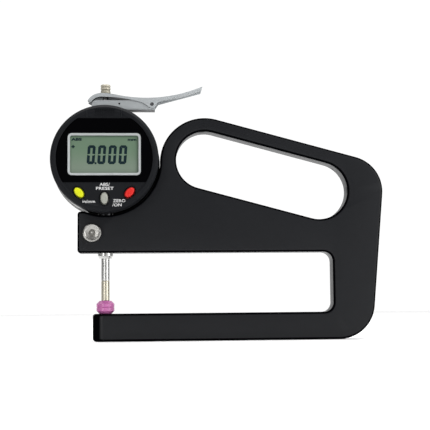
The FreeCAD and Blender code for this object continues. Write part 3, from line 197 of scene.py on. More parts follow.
class Finish(Tree):
    """A material with one Principled shader, built from wires and constants."""

    def __init__(self, name, colour, roughness=0.5, metallic=0.0, **sockets):
        self.material = bpy.data.materials.new(name)
        self.material.use_nodes = True
        self.tree = self.material.node_tree
        self.shader = self.tree.nodes["Principled BSDF"]
        self.put("Base Color", colour)
        self.put("Roughness", roughness)
        self.put("Metallic", metallic)
        for key, value in sockets.items():
            self.put(key.replace("_", " "), value)
        self.material.diffuse_color = self.shader.inputs["Base Color"].default_value

    def put(self, name, value):
        self.feed(self.shader.inputs[name], value)

    def place(self, move=(0, 0, 0), turn=(0, 0, 0), stretch=(1, 1, 1)):
        """Object coordinates, moved, turned and stretched."""
        spot = self.node("ShaderNodeTexCoord", {}, {}, "Object")
        return self.node("ShaderNodeMapping", {}, {"Vector": spot, "Location": move,
                                                   "Rotation": turn, "Scale": stretch})

    def noise(self, place, scale, detail=3.0, rough=0.5):
        return self.node("ShaderNodeTexNoise", {}, {"Vector": place, "Scale": scale,
                                                    "Detail": detail, "Roughness": rough}, "Fac")

    def blend(self, amount, first, second):
        """Mixes two colours; inputs 6 and 7 and output 2 are the node's colour sockets."""
        return self.node("ShaderNodeMix", {"data_type": "RGBA"},
                         {0: amount, 6: first, 7: second}, 2)

    def facing(self):
        """The three parts of the surface's own direction."""
        return self.axes(self.node("ShaderNodeTexCoord", {}, {}, "Normal"))

    def dulled(self, amount):
        """Takes the gloss away where amount is 1, with a second shader of the same colour."""
        dull = self.tree.nodes.new("ShaderNodeBsdfPrincipled")
        dull.inputs["Roughness"].default_value = 1.0
        dull.inputs["Specular IOR Level"].default_value = 0.0
        for link in self.shader.inputs["Base Color"].links:
            self.tree.links.new(link.from_socket, dull.inputs["Base Color"])
        mix = self.tree.nodes.new("ShaderNodeMixShader")
        self.tree.links.new(amount.socket, mix.inputs[0])
        self.tree.links.new(self.shader.outputs[0], mix.inputs[1])
        self.tree.links.new(dull.outputs[0], mix.inputs[2])
        for item in self.tree.nodes:
            if item.type == "OUTPUT_MATERIAL":
                self.tree.links.new(mix.outputs[0], item.inputs["Surface"])

    def relief(self, height, depth, strength=1.0):
        """A bump from a height between 0 and 1; depth is in metres."""
        values = {"Strength": strength, "Distance": depth, "Height": height}
        self.put("Normal", self.node("ShaderNodeBump", {}, values, "Normal"))


class Growth(Tree):
    """A Geometry Nodes tree with named inputs, which ends in one material."""

    def __init__(self, name, material, **sizes):
        self.name = name
        self.material = material
        self.tree = bpy.data.node_groups.new(name, "GeometryNodeTree")
        face = self.tree.interface
        face.new_socket("Seeds", in_out="INPUT", socket_type="NodeSocketGeometry")
        face.new_socket("Result", in_out="OUTPUT", socket_type="NodeSocketGeometry")
        self.sizes = {}
        for title, value in sizes.items():
            kind = "NodeSocketInt" if isinstance(value, int) else "NodeSocketFloat"
            self.sizes[face.new_socket(title, in_out="INPUT", socket_type=kind).identifier] = value
        self.entry = self.tree.nodes.new("NodeGroupInput")

    def __getitem__(self, title):
        """One of the tree's inputs."""
        return Wire(self, self.entry.outputs[title])

    def grown(self, shape, seeds=()):
        """The plain mesh object that the tree makes from seed points, smoothed by angle."""
        real = self.node("GeometryNodeRealizeInstances", {}, [shape])
        coated = self.node("GeometryNodeSetMaterial", {}, {"Geometry": real,
                                                           "Material": self.material})
        self.tree.links.new(coated.socket, self.tree.nodes.new("NodeGroupOutput").inputs[0])
        points = bpy.data.meshes.new(self.name + "_seeds")
        points.from_pydata([mm(*seed) for seed in seeds], [], [])
        holder = object_of(points, self.name + "_holder")
        modifier = holder.modifiers.new(self.name, "NODES")
        modifier.node_group = self.tree
        for identifier, value in self.sizes.items():
            modifier[identifier] = value
        bpy.context.view_layer.update()
        view = holder.evaluated_get(bpy.context.evaluated_depsgraph_get())
        mesh = bpy.data.meshes.new_from_object(view)
        holder.modifiers.remove(modifier)
        bpy.data.objects.remove(holder)
        mesh.name = self.name
        soften(mesh)
        return object_of(mesh, self.name)


def anodised_black():
    """Satin black anodising over fine blasting, with a faint drift of tone."""
    finish = Finish("anodised_black", (0.006, 0.0063, 0.0075), 0.36, 0.0, Specular_IOR_Level=0.235)
    spot = finish.place()
    drift = finish.noise(spot, 28.0, 3.0)
    grain = finish.noise(spot, 5200.0, 2.0)
    colour = finish.blend(drift, (0.0034, 0.0039, 0.0053), (0.0050, 0.0056, 0.0072))
    # Painted shade: faces seen almost edge-on, and the roundings beside them, are darkened and
    # lose their gloss
    across = finish.facing()[1].magnitude()
    edge = (1.0 - across).over(0.005, 0.1) * across.over(0.03, 0.15)
    finish.put("Base Color", finish.blend(edge, colour, (0.0012, 0.0013, 0.0018)))
    finish.dulled(edge)
    finish.put("Roughness", 0.33 + 0.05 * drift + 0.06 * grain)
    finish.relief(grain, 0.000012, 0.35)
    return finish.material


def moulded_black():
    """Moulded black plastic with a fine spark-eroded grain."""
    finish = Finish("moulded_black", (0.0055, 0.006, 0.0075), 0.6, 0.0, Specular_IOR_Level=0.1)
    spot = finish.place()
    grain = finish.noise(spot, 6500.0, 2.0)
    drift = finish.noise(spot, 60.0, 2.0)
    colour = finish.blend(drift, (0.0048, 0.0054, 0.0068), (0.0064, 0.0070, 0.0086))
    finish.put("Base Color", colour)
    finish.put("Roughness", 0.55 + 0.1 * grain)
    finish.relief(grain, 0.00001, 0.2)
    return finish.material


def window_black():
    """Polished black window with barely visible swirls from wiping."""
    finish = Finish("window_black", (0.001, 0.001, 0.0013), 0.08, 0.0, Specular_IOR_Level=0.03)
    spot = finish.place()
    smear = finish.noise(spot, 180.0, 4.0, 0.6)
    finish.put("Roughness", 0.07 + 0.07 * smear)
    return finish.material


def trim_silver():
    """Brushed silver frame round the display."""
    finish = Finish("trim_silver", (0.70, 0.73, 0.74), 0.36, 0.6)
    hairs = finish.noise(finish.place(stretch=(1, 1, 6)), 300.0, 2.0)
    finish.put("Base Color", finish.blend(hairs, (0.44, 0.465, 0.47), (0.56, 0.585, 0.59)))
    finish.put("Roughness", 0.30 + 0.12 * hairs)
    return finish.material


def display_green():
    """Grey-green reflective display, with painted shade: darker towards its top and right edges.
    """
    finish = Finish("display_green", (0.13, 0.18, 0.135), 0.35, 0.0, Specular_IOR_Level=0.15)
    x, _, z = finish.axes(finish.place(move=(0, 0, -(DIAL_Z + TRIM_RISE) * MM)))
    # Painted shadow of the trim on the sunk display, along its top and right edges
    shade_top = (z / MM).over(TRIM_HALF_HIGH - 2.6, TRIM_HALF_HIGH - 1.2)
    shade_right = (x / MM).over(TRIM_HALF_WIDE - 2.6, TRIM_HALF_WIDE - 1.2)
    painted_trim_shadow = shade_top.at_least(shade_right)
    drift = finish.noise(finish.place(), 90.0, 2.0)
    # Painted shade: the display is darker towards its top and lighter towards its bottom
    low = (z / MM).over(4.0, -9.0)
    upper = finish.blend(drift, (0.097, 0.150, 0.100), (0.107, 0.162, 0.110))
    lower = finish.blend(drift, (0.134, 0.172, 0.134), (0.146, 0.184, 0.146))
    body = finish.blend(low, upper, lower)
    body = finish.blend(painted_trim_shadow * 0.75, body, (0.05, 0.075, 0.055))
    # The glass is square; its corners outside the trim's rounded ones are masked black
    across, above = x / MM, z / MM
    over_x = across.magnitude() - (TRIM_HALF_WIDE - TRIM_CORNER)
    over_z = above.magnitude() - (TRIM_HALF_HIGH - TRIM_CORNER)
    over_x, over_z = over_x.at_least(0.0), over_z.at_least(0.0)
    corner = (over_x * over_x + over_z * over_z).root().over(TRIM_CORNER - 0.5, TRIM_CORNER - 0.4)
    finish.put("Base Color", finish.blend(corner, body, (0.0015, 0.0015, 0.002)))
    return finish.material


def key_finish(name, colour, dark):
    """Moulded key plastic with a slight change of tone."""
    finish = Finish(name, colour, 0.34, 0.0, Specular_IOR_Level=0.2)
    tone = finish.noise(finish.place(), 260.0, 2.0)
    finish.put("Base Color", finish.blend(tone, dark, colour))
    finish.put("Roughness", 0.3 + 0.1 * tone)
    return finish.material


def ground_steel(name, light, dark, painted_shade_from=None, thread_pitch=None):
    """Steel ground or turned about the spindle's axis: soft rings stacked along Z.

    Above the height painted_shade_from it is darkened with painted shade, striped like a thread
    where thread_pitch is given; millimetres."""
    rough = 0.2
    finish = Finish(name, light, rough, 0.9)
    rings = finish.noise(finish.place(stretch=(0.02, 0.02, 1)), 260.0, 2.0)
    stain = finish.noise(finish.place(), 60.0, 2.0)
    bright = finish.blend((rings * 0.5 + stain * 0.5).clipped(), dark, light)
    # Painted shade: darkened above a height, with a thread's stripes when a pitch is given
    if painted_shade_from:
        z = finish.axes(finish.place())[2]
        above = (z / MM).over(painted_shade_from, painted_shade_from + 0.2)
        if thread_pitch:
            above = above * (0.62 + 0.3 * (z * (2 * math.pi / (thread_pitch * MM))).sine())
        bright = finish.blend(above, bright, (0.02, 0.02, 0.022))
    finish.put("Base Color", bright)
    finish.put("Roughness", rough + 0.06 * rings)
    return finish.material


def dished_screw():
    """Turned screw head: rings about the screw's own axis, which lies along Y."""
    low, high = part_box("clamp_screw")
    clamp_centre = Vector(((low[0] + high[0]) / 2, 0, (low[2] + high[2]) / 2))
    finish = Finish("dished_screw", (0.45, 0.445, 0.42), 0.2, 1.0)
    x, _, z = finish.axes(finish.place(move=-clamp_centre))
    radius = (x * x + z * z).root() / MM
    dish = radius.over(3.2, 3.7) * (0.0 - radius).over(-4.55, -4.1)
    step = radius.over(0.5, 0.8) * (0.0 - radius).over(-1.7, -1.4)
    rings = finish.noise(finish.join(radius, 0.0, 0.0), 2.2, 1.0)
    bright = finish.blend(rings, (0.36, 0.355, 0.34), (0.50, 0.49, 0.47))
    shadow = (1.0 - dish) * 0.3 + step * 0.45
    finish.put("Base Color", finish.blend(shadow, bright, (0.16, 0.155, 0.14)))
    finish.put("Roughness", 0.24 + 0.08 * rings)
    finish.relief(0.5 + 0.5 * (radius * 14.0).sine(), 0.00003, 0.6)
    return finish.material


def satin_sheet():
    """Satin sheet steel brushed along its length."""
    finish = Finish("satin_sheet", (0.42, 0.44, 0.45), 0.5, 0.25)
    hairs = finish.noise(finish.place(turn=(0, 12 * RADIAN, 0), stretch=(0.03, 1, 1)), 420.0, 2.0)
    cloud = finish.noise(finish.place(), 90.0, 2.0)
    mix = (hairs * 0.6 + cloud * 0.4).clipped()
    x, _, z = finish.axes(finish.place())
    # Painted shade: the bracket's lowest edge, and what faces down inside the folded sheets, are
    # darkened
    painted_under_shade = (0.0 - z / MM).over(-BRACKET_FOOT - 0.12, -BRACKET_FOOT - 0.04)
    down = (0.0 - finish.facing()[2]).over(0.15, 0.4)
    shaded_hollow = (down * (z / MM).over(BRACKET_FOOT + 1.2, BRACKET_FOOT + 1.6)
              * (0.0 - x / MM).over(-24.0, -22.0))
    painted_under_shade = painted_under_shade.at_least(shaded_hollow)
    bright = finish.blend(mix, (0.31, 0.33, 0.34), (0.375, 0.395, 0.405))
    finish.put("Base Color", finish.blend(painted_under_shade, bright, (0.06, 0.062, 0.065)))
    finish.put("Roughness", 0.48 + 0.1 * hairs)
    return finish.material


def case_metal():
    """Cast and lacquered grey case with a faint orange peel."""
    finish = Finish("case_metal", (0.30, 0.30, 0.30), 0.5, 0.4)
    peel = finish.noise(finish.place(), 1100.0, 2.0)
    cloud = finish.noise(finish.place(), 70.0, 2.0)
    x, y, z = finish.axes(finish.place())
    x, y, z = x / MM, y / MM, z / MM - DIAL_Z
    # The case's front edge beside the frame lies in the frame's shadow
    seat = ((x * x + z * z).root().over(CASE_SEAT, CASE_SEAT + 0.3) * x.over(-9.8, -9.0)
            * (0.0 - z).over(-12.0, -11.0) * (0.0 - y).over(-8.55, -8.45))
    bright = finish.blend(cloud, (0.26, 0.26, 0.26), (0.32, 0.32, 0.315))
    finish.put("Base Color", finish.blend(seat, bright, (0.01, 0.01, 0.01)))
    finish.dulled(seat)
    finish.put("Roughness", 0.46 + 0.12 * peel)
    finish.relief(peel, 0.00002, 0.3)
    return finish.material


def pink_ceramic():
    """Ground pink ruby ceramic with pale clouds."""
    finish = Finish("pink_ceramic", (0.42, 0.11, 0.30), 0.28, 0.0, Coat_Weight=0.4,
                    Subsurface_Weight=0.15, Subsurface_Radius=(0.002, 0.0006, 0.0012),
                    Subsurface_Scale=0.3)
    cloud = finish.noise(finish.place(), 420.0, 3.0)
    finish.put("Base Color", finish.blend(cloud, (0.33, 0.075, 0.23), (0.50, 0.15, 0.37)))
    finish.put("Roughness", 0.22 + 0.14 * cloud)
    return finish.material


def pale_brass():
    """Pale cap metal with turned rings; painted shade darkens its cut grooves, and its lower part
    is darker.
    """
    finish = Finish("pale_brass", (0.46, 0.43, 0.35), 0.45, 0.35)
    rings = finish.noise(finish.place(stretch=(0.02, 0.02, 1)), 300.0, 2.0)
    x, y, z = finish.axes(finish.place())
    # Painted shade: darker within the cut grooves' radius
    reach = ((x * x + y * y).root() / MM).over(2.37, 2.55)
    bright = finish.blend(rings, (0.40, 0.37, 0.295), (0.47, 0.44, 0.36))
    low, high = (corner[2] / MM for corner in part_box("spindle_cap"))
    # Darker over the cap's lower part
    darker_low = 0.5 * (0.0 - z / MM).over(-(low * 0.45 + high * 0.55), -(low * 0.8 + high * 0.2))
    groove_shade_and_darker_low = (1.0 - reach).at_least(darker_low)
    finish.put("Base Color", finish.blend(groove_shade_and_darker_low, bright, (0.21, 0.195, 0.15)))
    finish.put("Roughness", 0.4 + 0.1 * rings)
    return finish.material


def board_green():
    """Solder mask with pale tracks in a grid."""
    finish = Finish("board_green", (0.02, 0.12, 0.05), 0.4, 0.0)
    x, _, z = finish.axes(finish.place())
    track = ((x * 2600.0).sine() * (z * 2100.0).sine()).over(0.55, 0.75)
    finish.put("Base Color", finish.blend(track, (0.015, 0.10, 0.045), (0.05, 0.22, 0.10)))
    return finish.material


def dark_rubber():
    """Silicone rubber with a dull grain."""
    finish = Finish("dark_rubber", (0.03, 0.03, 0.03), 0.7, 0.0)
    grain = finish.noise(finish.place(), 2400.0, 2.0)
    finish.put("Roughness", 0.6 + 0.2 * grain)
    return finish.material


def ruled_glass():
    """Coated glass scale with fine copper pads in a ladder."""
    finish = Finish("ruled_glass", (0.62, 0.52, 0.36), 0.25, 0.6)
    z = finish.axes(finish.place())[2]
    pads = (z * 5200.0).sine().over(-0.1, 0.1)
    finish.put("Base Color", finish.blend(pads, (0.03, 0.10, 0.06), (0.70, 0.42, 0.20)))
    return finish.material


def printed(name, colour):
    """Screen-printed ink with slightly uneven cover."""
    finish = Finish(name, colour, 0.6, 0.0, Specular_IOR_Level=0.1)
    cover = finish.noise(finish.place(), 900.0, 2.0)
    finish.put("Base Color", finish.blend(cover, tuple(0.82 * c for c in colour), colour))
    return finish.material


FINISHES = {
    "frame_black": anodised_black(),
    "black_plastic": moulded_black(),
    "window_black": window_black(),
    "trim_silver": trim_silver(),
    "display_green": display_green(),
    "key_yellow": key_finish("key_yellow", (0.57, 0.60, 0.010), (0.52, 0.54, 0.008)),
    "key_grey": key_finish("key_grey", (0.30, 0.305, 0.27), (0.26, 0.265, 0.235)),
    "key_red": key_finish("key_red", (0.56, 0.022, 0.017), (0.50, 0.016, 0.013)),
    "pad_rubber": dark_rubber(),
    "case_metal": case_metal(),
    "steel": ground_steel("ground_steel", (0.52, 0.52, 0.51), (0.44, 0.44, 0.43)),
    "shank_steel": ground_steel("shank_steel", (0.54, 0.51, 0.42), (0.46, 0.43, 0.35)),
    "screw_steel": dished_screw(),
    "cap_brass": pale_brass(),
    "pink_ceramic": pink_ceramic(),
    "sheet_steel": satin_sheet(),
    "board_green": board_green(),
    "scale_glass": ruled_glass(),
    "spring_steel": ground_steel("spring_steel", (0.5, 0.5, 0.5), (0.36, 0.36, 0.36)),
}
OWN_FINISH = {
    # The stem bush is darkened above 60 mm and the spindle above 117 mm: painted shade
    "stem_bush": ground_steel("stem_steel", (0.52, 0.52, 0.51), (0.44, 0.44, 0.43),
                              painted_shade_from=60.0),
    "spindle": ground_steel("spindle_steel", (0.52, 0.52, 0.51), (0.44, 0.44, 0.43),
                            painted_shade_from=117.0, thread_pitch=0.5),
    # Painted shade: the pivot pin and the spacer rivet are darkened, standing in for the dark
    # holes they sit in
    "pivot_pin": ground_steel("pin_steel", (0.26, 0.26, 0.27), (0.20, 0.20, 0.21)),
    "spacer_rivet": ground_steel("rivet_steel", (0.05, 0.05, 0.055), (0.03, 0.03, 0.035)),
    "case_screws": ground_steel("screw_heads", (0.62, 0.62, 0.62), (0.54, 0.54, 0.54)),
}
BODY_OF = {node: body for body, nodes in frame["record"]["behaviour"]["bodies"].items()
           for node in nodes}
SLOT_OF = {part["node"]: part["material_slot"] for part in frame["record"]["subparts"]}


def finished(piece, finish, body):
    """Gives a new piece its material and body."""
    piece.data.materials.clear()
    piece.data.materials.append(finish)
    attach(piece, body)


def stands_for(piece, node, body=None):
    """Gives a piece the finish and body of the CAD node that it replaces."""
    finish = OWN_FINISH.get(node, FINISHES[SLOT_OF[node]])
    finished(piece, finish, body or BODY_OF[node])
    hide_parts(node)


# Pieces in place of CAD nodes

def case_screw_set():
    """Four countersunk screws, each with a crossed recess turned by its own amount."""
    growth = Growth("case_screws_finished", FINISHES["screw_steel"], Head_Radius=1.5 * MM,
                    Head_Height=0.9 * MM, Slot_Width=0.42 * MM, Slot_Depth=0.5 * MM,
                    Shank_Radius=0.8 * MM, Length=(SCREW_TOP - SCREW_TIP) * MM, Seed=7)
    radius, height, depth = growth["Head_Radius"], growth["Head_Height"], growth["Slot_Depth"]
    head = growth.node("GeometryNodeMeshCone", {}, {"Vertices": 40, "Radius Top": radius * 0.88,
                                                    "Radius Bottom": radius, "Depth": height})
    head = growth.node("GeometryNodeTransform", {}, {
        "Geometry": head, "Translation": growth.join(0.0, 0.0, 0.0 - height)})
    arm = growth.join(radius * 1.25, growth["Slot_Width"], depth * 2.0)
    bars = [growth.node("GeometryNodeMeshCube", {}, {"Size": arm})]
    bars.append(growth.node("GeometryNodeTransform", {}, {
        "Geometry": bars[0], "Rotation": (0.0, 0.0, math.pi / 2)}))
    shank = growth.node("GeometryNodeMeshCylinder", {}, {
        "Vertices": 24, "Radius": growth["Shank_Radius"], "Depth": growth["Length"] - height})
    shank = growth.node("GeometryNodeTransform", {}, {
        "Geometry": shank,
        "Translation": growth.join(0.0, 0.0, (0.0 - (growth["Length"] + height)) * 0.5)})
    carved = growth.tree.nodes.new("GeometryNodeMeshBoolean")
    carved.operation = "DIFFERENCE"
    growth.tree.links.new(head.socket, carved.inputs["Mesh 1"])
    for bar in bars:
        growth.tree.links.new(bar.socket, carved.inputs["Mesh 2"])
    screw = growth.tree.nodes.new("GeometryNodeJoinGeometry")
    for part in (carved.outputs["Mesh"], shank.socket):
        growth.tree.links.new(part, screw.inputs[0])
    turn = growth.node("FunctionNodeRandomValue", {"data_type": "FLOAT"}, {
        2: 0.0, 3: math.pi / 2, "Seed": growth["Seed"]}, 1)
    # The screw is built along Z and laid along Y, with its head to the back
    laid = growth.node("GeometryNodeTransform", {}, {
        "Geometry": Wire(growth, screw.outputs[0]), "Rotation": (-math.pi / 2, 0.0, 0.0)})
    spots = growth.node("GeometryNodeInstanceOnPoints", {}, {
        "Points": growth["Seeds"], "Instance": laid, "Rotation": growth.join(0.0, turn, 0.0)})
    seeds = [(SCREW_CIRCLE * math.cos(angle * RADIAN), SCREW_TOP,
              DIAL_Z + SCREW_CIRCLE * math.sin(angle * RADIAN)) for angle in SCREW_ANGLES]
    stands_for(growth.grown(spots, seeds), "case_screws")


def return_spring():
    """The coil round the spindle's neck; its top end rests on the bush and stays there."""
    growth = Growth("return_spring_finished", FINISHES["spring_steel"], Coil_Radius=2.1 * MM,
                    Wire_Radius=0.15 * MM, Rise=(SPRING_TOP - SPRING_FOOT - 0.4) * MM, Turns=8.0)
    coil = growth.node("GeometryNodeCurveSpiral", {}, {
        "Resolution": 28, "Rotations": growth["Turns"], "Start Radius": growth["Coil_Radius"],
        "End Radius": growth["Coil_Radius"], "Height": growth["Rise"]})
    ring = growth.node("GeometryNodeCurvePrimitiveCircle", {}, {"Resolution": 8,
                                                                "Radius": growth["Wire_Radius"]})
    wire = growth.node("GeometryNodeCurveToMesh", {}, {"Curve": coil, "Profile Curve": ring,
                                                       "Fill Caps": True})
    placed = growth.node("GeometryNodeTransform", {}, {
        "Geometry": wire, "Translation": (0.0, 0.0, (SPRING_FOOT + 0.2) * MM)})
    spring = growth.grown(placed)
    stands_for(spring, "return_spring", "gauge")
    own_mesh(spring)


case_screw_set()
return_spring()
for node_name in frame["nodes"]:
    if node_name not in ("case_screws", "return_spring"):
        shape = frame["nodes"][node_name].data.copy()
        shape.name = node_name + "_finished"
        soften(shape)
        if node_name == "stem_bush":
            foot = min(corner.co.z for corner in shape.vertices)
            for corner in shape.vertices:
                if corner.co.z < foot + 0.01 * MM:
                    corner.co.z -= STEM_DROP * MM
        stands_for(object_of(shape, shape.name), node_name)


# Display digits and printed labels

def flat_plate(name, outlines, y):
    """Thin solids from outlines of (x, z) points in millimetres, their front at y."""
    work = bmesh.new()
    for outline in outlines:
        front = [work.verts.new(mm(x, y, z)) for x, z in outline]
        back = [work.verts.new(mm(x, y + INK_THICK, z)) for x, z in outline]
        work.faces.new(front)
        work.faces.new(list(reversed(back)))
        for index in range(len(outline)):
            after = (index + 1) % len(outline)
            work.faces.new((front[index], back[index], back[after], front[after]))
    bmesh.ops.recalc_face_normals(work, faces=work.faces)
    mesh = bpy.data.meshes.new(name)
    work.to_mesh(mesh)
    work.free()
    return object_of(mesh, name)


def segment_digit(left, foot, width, height, stroke, lit, slant):
    """Outlines of the lit strokes of a seven-segment digit, leaning by slant."""
    half, gap, cut = height / 2, 0.12, stroke * 0.6
    right, top = left + width, foot + height
    inner_left, inner_right = left + stroke, right - stroke

    def level(edge, inner, seam):
        """The foot or the top stroke, mitred into the standing ones with a hairline seam."""
        bend = edge + (cut if inner > edge else -cut) / 2
        return [(left + cut, edge), (right - cut, edge), (right - cut / 2 - seam, bend),
                (inner_right - seam, inner), (inner_left + seam, inner),
                (left + cut / 2 + seam, bend)]

    def standing(outer, inner, end, end_inner, side):
        """A standing stroke from the middle to the foot or top; side is 1 upwards, -1 down."""
        start = foot + half + side * gap
        return [(outer, start), (inner, start + side * stroke * 0.25), (inner, end_inner),
                (outer + (0.5 if outer == left else -0.5) * cut, end - side * cut * 0.5),
                (outer, end - side * cut)]

    strokes = {
        "foot": level(foot, foot + stroke, 0.05),
        "top": level(top, top - stroke, 0.05),
        "middle": [(inner_left, foot + half - stroke / 2), (inner_right, foot + half - stroke / 2),
                   (inner_right + cut, foot + half), (inner_right, foot + half + stroke / 2),
                   (inner_left, foot + half + stroke / 2), (inner_left - cut, foot + half)],
        "low_left": standing(left, inner_left, foot, foot + stroke, -1),
        "high_left": standing(left, inner_left, top, top - stroke, 1),
        "low_right": standing(right, inner_right, foot, foot + stroke, -1),
        "high_right": standing(right, inner_right, top, top - stroke, 1),
    }
    return [[(x + (z - foot) * slant, z) for x, z in strokes[name]] for name in lit]


ZERO = ("foot", "top", "low_left", "high_left", "low_right", "high_right")
DIGIT_FOOT = DIAL_Z - 3.2
DIGIT_COUNT, DIGIT_PITCH, FIRST_DIGIT = 4, 5.45, -9.2
DIGIT_WIDTH, DIGIT_HEIGHT, DIGIT_STROKE, DIGIT_SLANT = 4.1, 9.9, 1.5, 0.07
POINT_LEFT, POINT_SIDE = FIRST_DIGIT + 4.15, 1.0
ink = printed("display_ink", (0.004, 0.014, 0.018))
outlines = []
for column in range(DIGIT_COUNT):
    outlines += segment_digit(FIRST_DIGIT + column * DIGIT_PITCH, DIGIT_FOOT, DIGIT_WIDTH,
                              DIGIT_HEIGHT, DIGIT_STROKE, ZERO, DIGIT_SLANT)
outlines.append([(POINT_LEFT, DIGIT_FOOT), (POINT_LEFT + POINT_SIDE, DIGIT_FOOT),
                 (POINT_LEFT + POINT_SIDE, DIGIT_FOOT + POINT_SIDE),
                 (POINT_LEFT, DIGIT_FOOT + POINT_SIDE)])
digits = flat_plate("display_digits", outlines, DISPLAY_Y - INK_LIFT)
finished(digits, ink, "gauge")


def bezel_step(x, z):
    """The bezel's Y from its sunk face in millimetres, at a point in metres."""
    radius = math.hypot(x / MM, z / MM - DIAL_Z)
    before = BEZEL_PROFILE[0]
    for reach, step in BEZEL_PROFILE:
        if radius <= reach:
            share = (radius - before[0]) / (reach - before[0]) if reach > before[0] else 0.0
            return before[1] + max(share, 0.0) * (step - before[1])
        before = (reach, step)
    return before[1]


def drape(mesh):
    """Splits long edges and lays a flat mesh over the step between the bezel's face and rim."""
    work = bmesh.new()
    work.from_mesh(mesh)
    for _ in range(3):
        bmesh.ops.triangulate(work, faces=work.faces)
        long_edges = [edge for edge in work.edges if edge.calc_length() > LONGEST_EDGE * MM]
        bmesh.ops.subdivide_edges(work, edges=long_edges, cuts=1)
    bmesh.ops.triangulate(work, faces=work.faces)
    for corner in work.verts:
        corner.co.y += bezel_step(corner.co.x, corner.co.z) * MM
    work.to_mesh(mesh)
    work.free()


def lettering(name, words, size, x, y, z, finish, spread, bold, draped=False):
    """Words as a thin mesh that faces the front, centred on a point given in millimetres."""
    text = bpy.data.curves.new(name, "FONT")
    text.body = words
    text.size = size * MM
    text.align_x = "CENTER"
    text.align_y = "CENTER"
    text.extrude = INK_THICK / 2 * MM
    text.offset = bold * MM
    text.space_line = 0.9
    text.resolution_u = 4
    holder = object_of(text, name + "_curve")
    bpy.context.view_layer.update()
    view = holder.evaluated_get(bpy.context.evaluated_depsgraph_get())
    mesh = bpy.data.meshes.new_from_object(view)
    bpy.data.objects.remove(holder)
    mesh.transform(Matrix.Diagonal((spread, 1, 1, 1)))
    mesh.transform(Matrix.Rotation(math.pi / 2, 4, "X"))
    mesh.transform(Matrix.Translation(mm(x, y, z)))
    if draped:
        drape(mesh)
    mesh.name = name
    finished(object_of(mesh, name), finish, "gauge")


white_ink = printed("label_ink", (0.68, 0.68, 0.68))
LABEL_Y = FACE_Y - INK_THICK
LABEL_BOLD = 0.02
# Name, words, size, x, z from the dial's centre, spread
LABELS = [
    ("label_unit", "in/mm", 2.2, -7.9, -22.7, 1.18),
    ("label_abs", "ABS/", 2.2, 0.2, -13.9, 1.2),
    ("label_preset", "PRESET", 2.2, 0.2, -15.95, 1.32),
    ("label_zero", "ZERO", 2.2, 7.7, -22.4, 1.12),
    ("label_on", "/ON", 2.2, 6.6, -24.6, 1.2),
]
for name, words, size, x, z, spread in LABELS:
    lettering(name, words, size, x, LABEL_Y, DIAL_Z + z, white_ink, spread,
              LABEL_BOLD, draped=True)
# Name, words, size, x, z from the dial's centre, spread, boldness
SIGNS = [
    ("sign_abs", "ABS", 1.9, -14.3, 9.7, 1.6, 0.11),
    ("sign_mm", "mm", 2.0, 14.3, 9.7, 1.5, 0.09),
    ("sign_hold", "+", 2.8, -16.1, 5.8, 1.0, 0.22),
]
for name, words, size, x, z, spread, bold in SIGNS:
    lettering(name, words, size, x, DISPLAY_Y - INK_LIFT, DIAL_Z + z, ink,
              spread, bold)


# Studio: camera where the photograph was taken, pale floor and soft light

YAW, PITCH, ROLL = 3.7575 * RADIAN, 5.1558 * RADIAN, -0.5279 * RADIAN
CAMERA_PLACE = mm(23.2566, -529.5179, 18.2535)
SENSOR_WIDTH, FOCAL_PIXELS, PHOTO_PIXELS = 36.0, 1000.0, 430.0
FLOOR_REACH, FLOOR_Z = 1.9, -0.0002
ahead = Vector((math.sin(YAW) * math.cos(PITCH), math.cos(YAW) * math.cos(PITCH), math.sin(PITCH)))
level = Vector((math.cos(YAW), -math.sin(YAW), 0))
over = level.cross(ahead)
right = level * math.cos(ROLL) + over * math.sin(ROLL)
up = over * math.cos(ROLL) - level * math.sin(ROLL)
lens = bpy.data.cameras.new("photo_lens")
lens.sensor_width = SENSOR_WIDTH
lens.lens = FOCAL_PIXELS / PHOTO_PIXELS * SENSOR_WIDTH
lens.clip_start = 0.01
camera = object_of(lens, "photo_camera")
turn = Matrix((right, up, -ahead)).transposed().to_4x4()
camera.matrix_world = Matrix.Translation(CAMERA_PLACE) @ turn
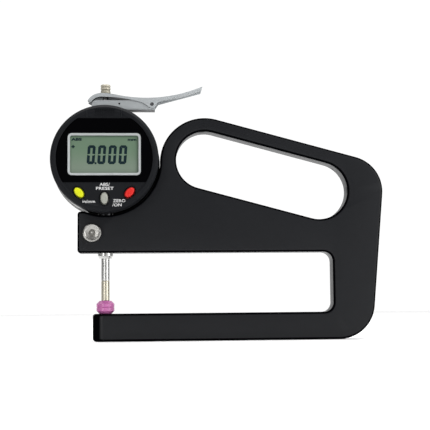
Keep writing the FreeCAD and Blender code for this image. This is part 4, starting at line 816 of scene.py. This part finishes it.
bpy.context.scene.camera = camera

floor_mesh = bpy.data.meshes.new("floor")
floor_mesh.from_pydata([(x * FLOOR_REACH, y * FLOOR_REACH, FLOOR_Z)
                        for x, y in ((-1, -1), (1, -1), (1, 1), (-1, 1))], [], [(0, 1, 2, 3)])
floor = object_of(floor_mesh, "floor")
floor.data.materials.append(Finish("floor_paper", (0.92, 0.92, 0.92), 0.9).material)


class Sky(Tree):
    """Studio surroundings: white backdrop and ceiling, a dimmer room in front of the gauge with
    a dark strip round the camera, and weak light from all other directions."""

    def __init__(self):
        world = bpy.data.worlds.new("studio")
        bpy.context.scene.world = world
        world.use_nodes = True
        self.tree = world.node_tree
        x, y, z = self.axes(self.node("ShaderNodeTexCoord", {}, {}, "Generated"))
        backdrop = y.over(0.4, 0.75) * 1.05
        ceiling = z.over(0.45, 0.85) * 1.25
        aside = x.magnitude()
        room = (0.0 - y).over(0.2, 0.5) * (0.28 + 0.66 * x.over(-0.1, 0.4)) * aside.over(0.1, 0.3)
        light = backdrop.at_least(ceiling).at_least(room).at_least(0.15)
        self.tree.links.new(light.socket, self.tree.nodes["Background"].inputs["Strength"])
        self.tree.nodes["Background"].inputs["Color"].default_value = (1, 1, 1, 1)


Sky()
bpy.context.scene.view_settings.view_transform = "Standard"


def soft_light(name, place, target, width, height, power):
    """A rectangular lamp at a place, turned to its target; metres and watts."""
    lamp = bpy.data.lights.new(name, "AREA")
    lamp.shape = "RECTANGLE"
    lamp.size = width
    lamp.size_y = height
    lamp.energy = power
    holder = object_of(lamp, name)
    holder.location = place
    holder.rotation_euler = (Vector(target) - Vector(place)).to_track_quat("-Z", "Y").to_euler()


soft_light("ceiling_light", (0.1, 0.1, 1.2), (0.06, 0, 0.0), 1.2, 1.0, 14)
soft_light("right_light", (0.9, -0.55, 0.35), (0.08, 0, 0.06), 0.5, 0.6, 5)
soft_light("left_light", (-0.5, -0.85, 0.25), (0.0, 0, 0.08), 0.2, 0.6, 2)

bpy.context.view_layer.update()
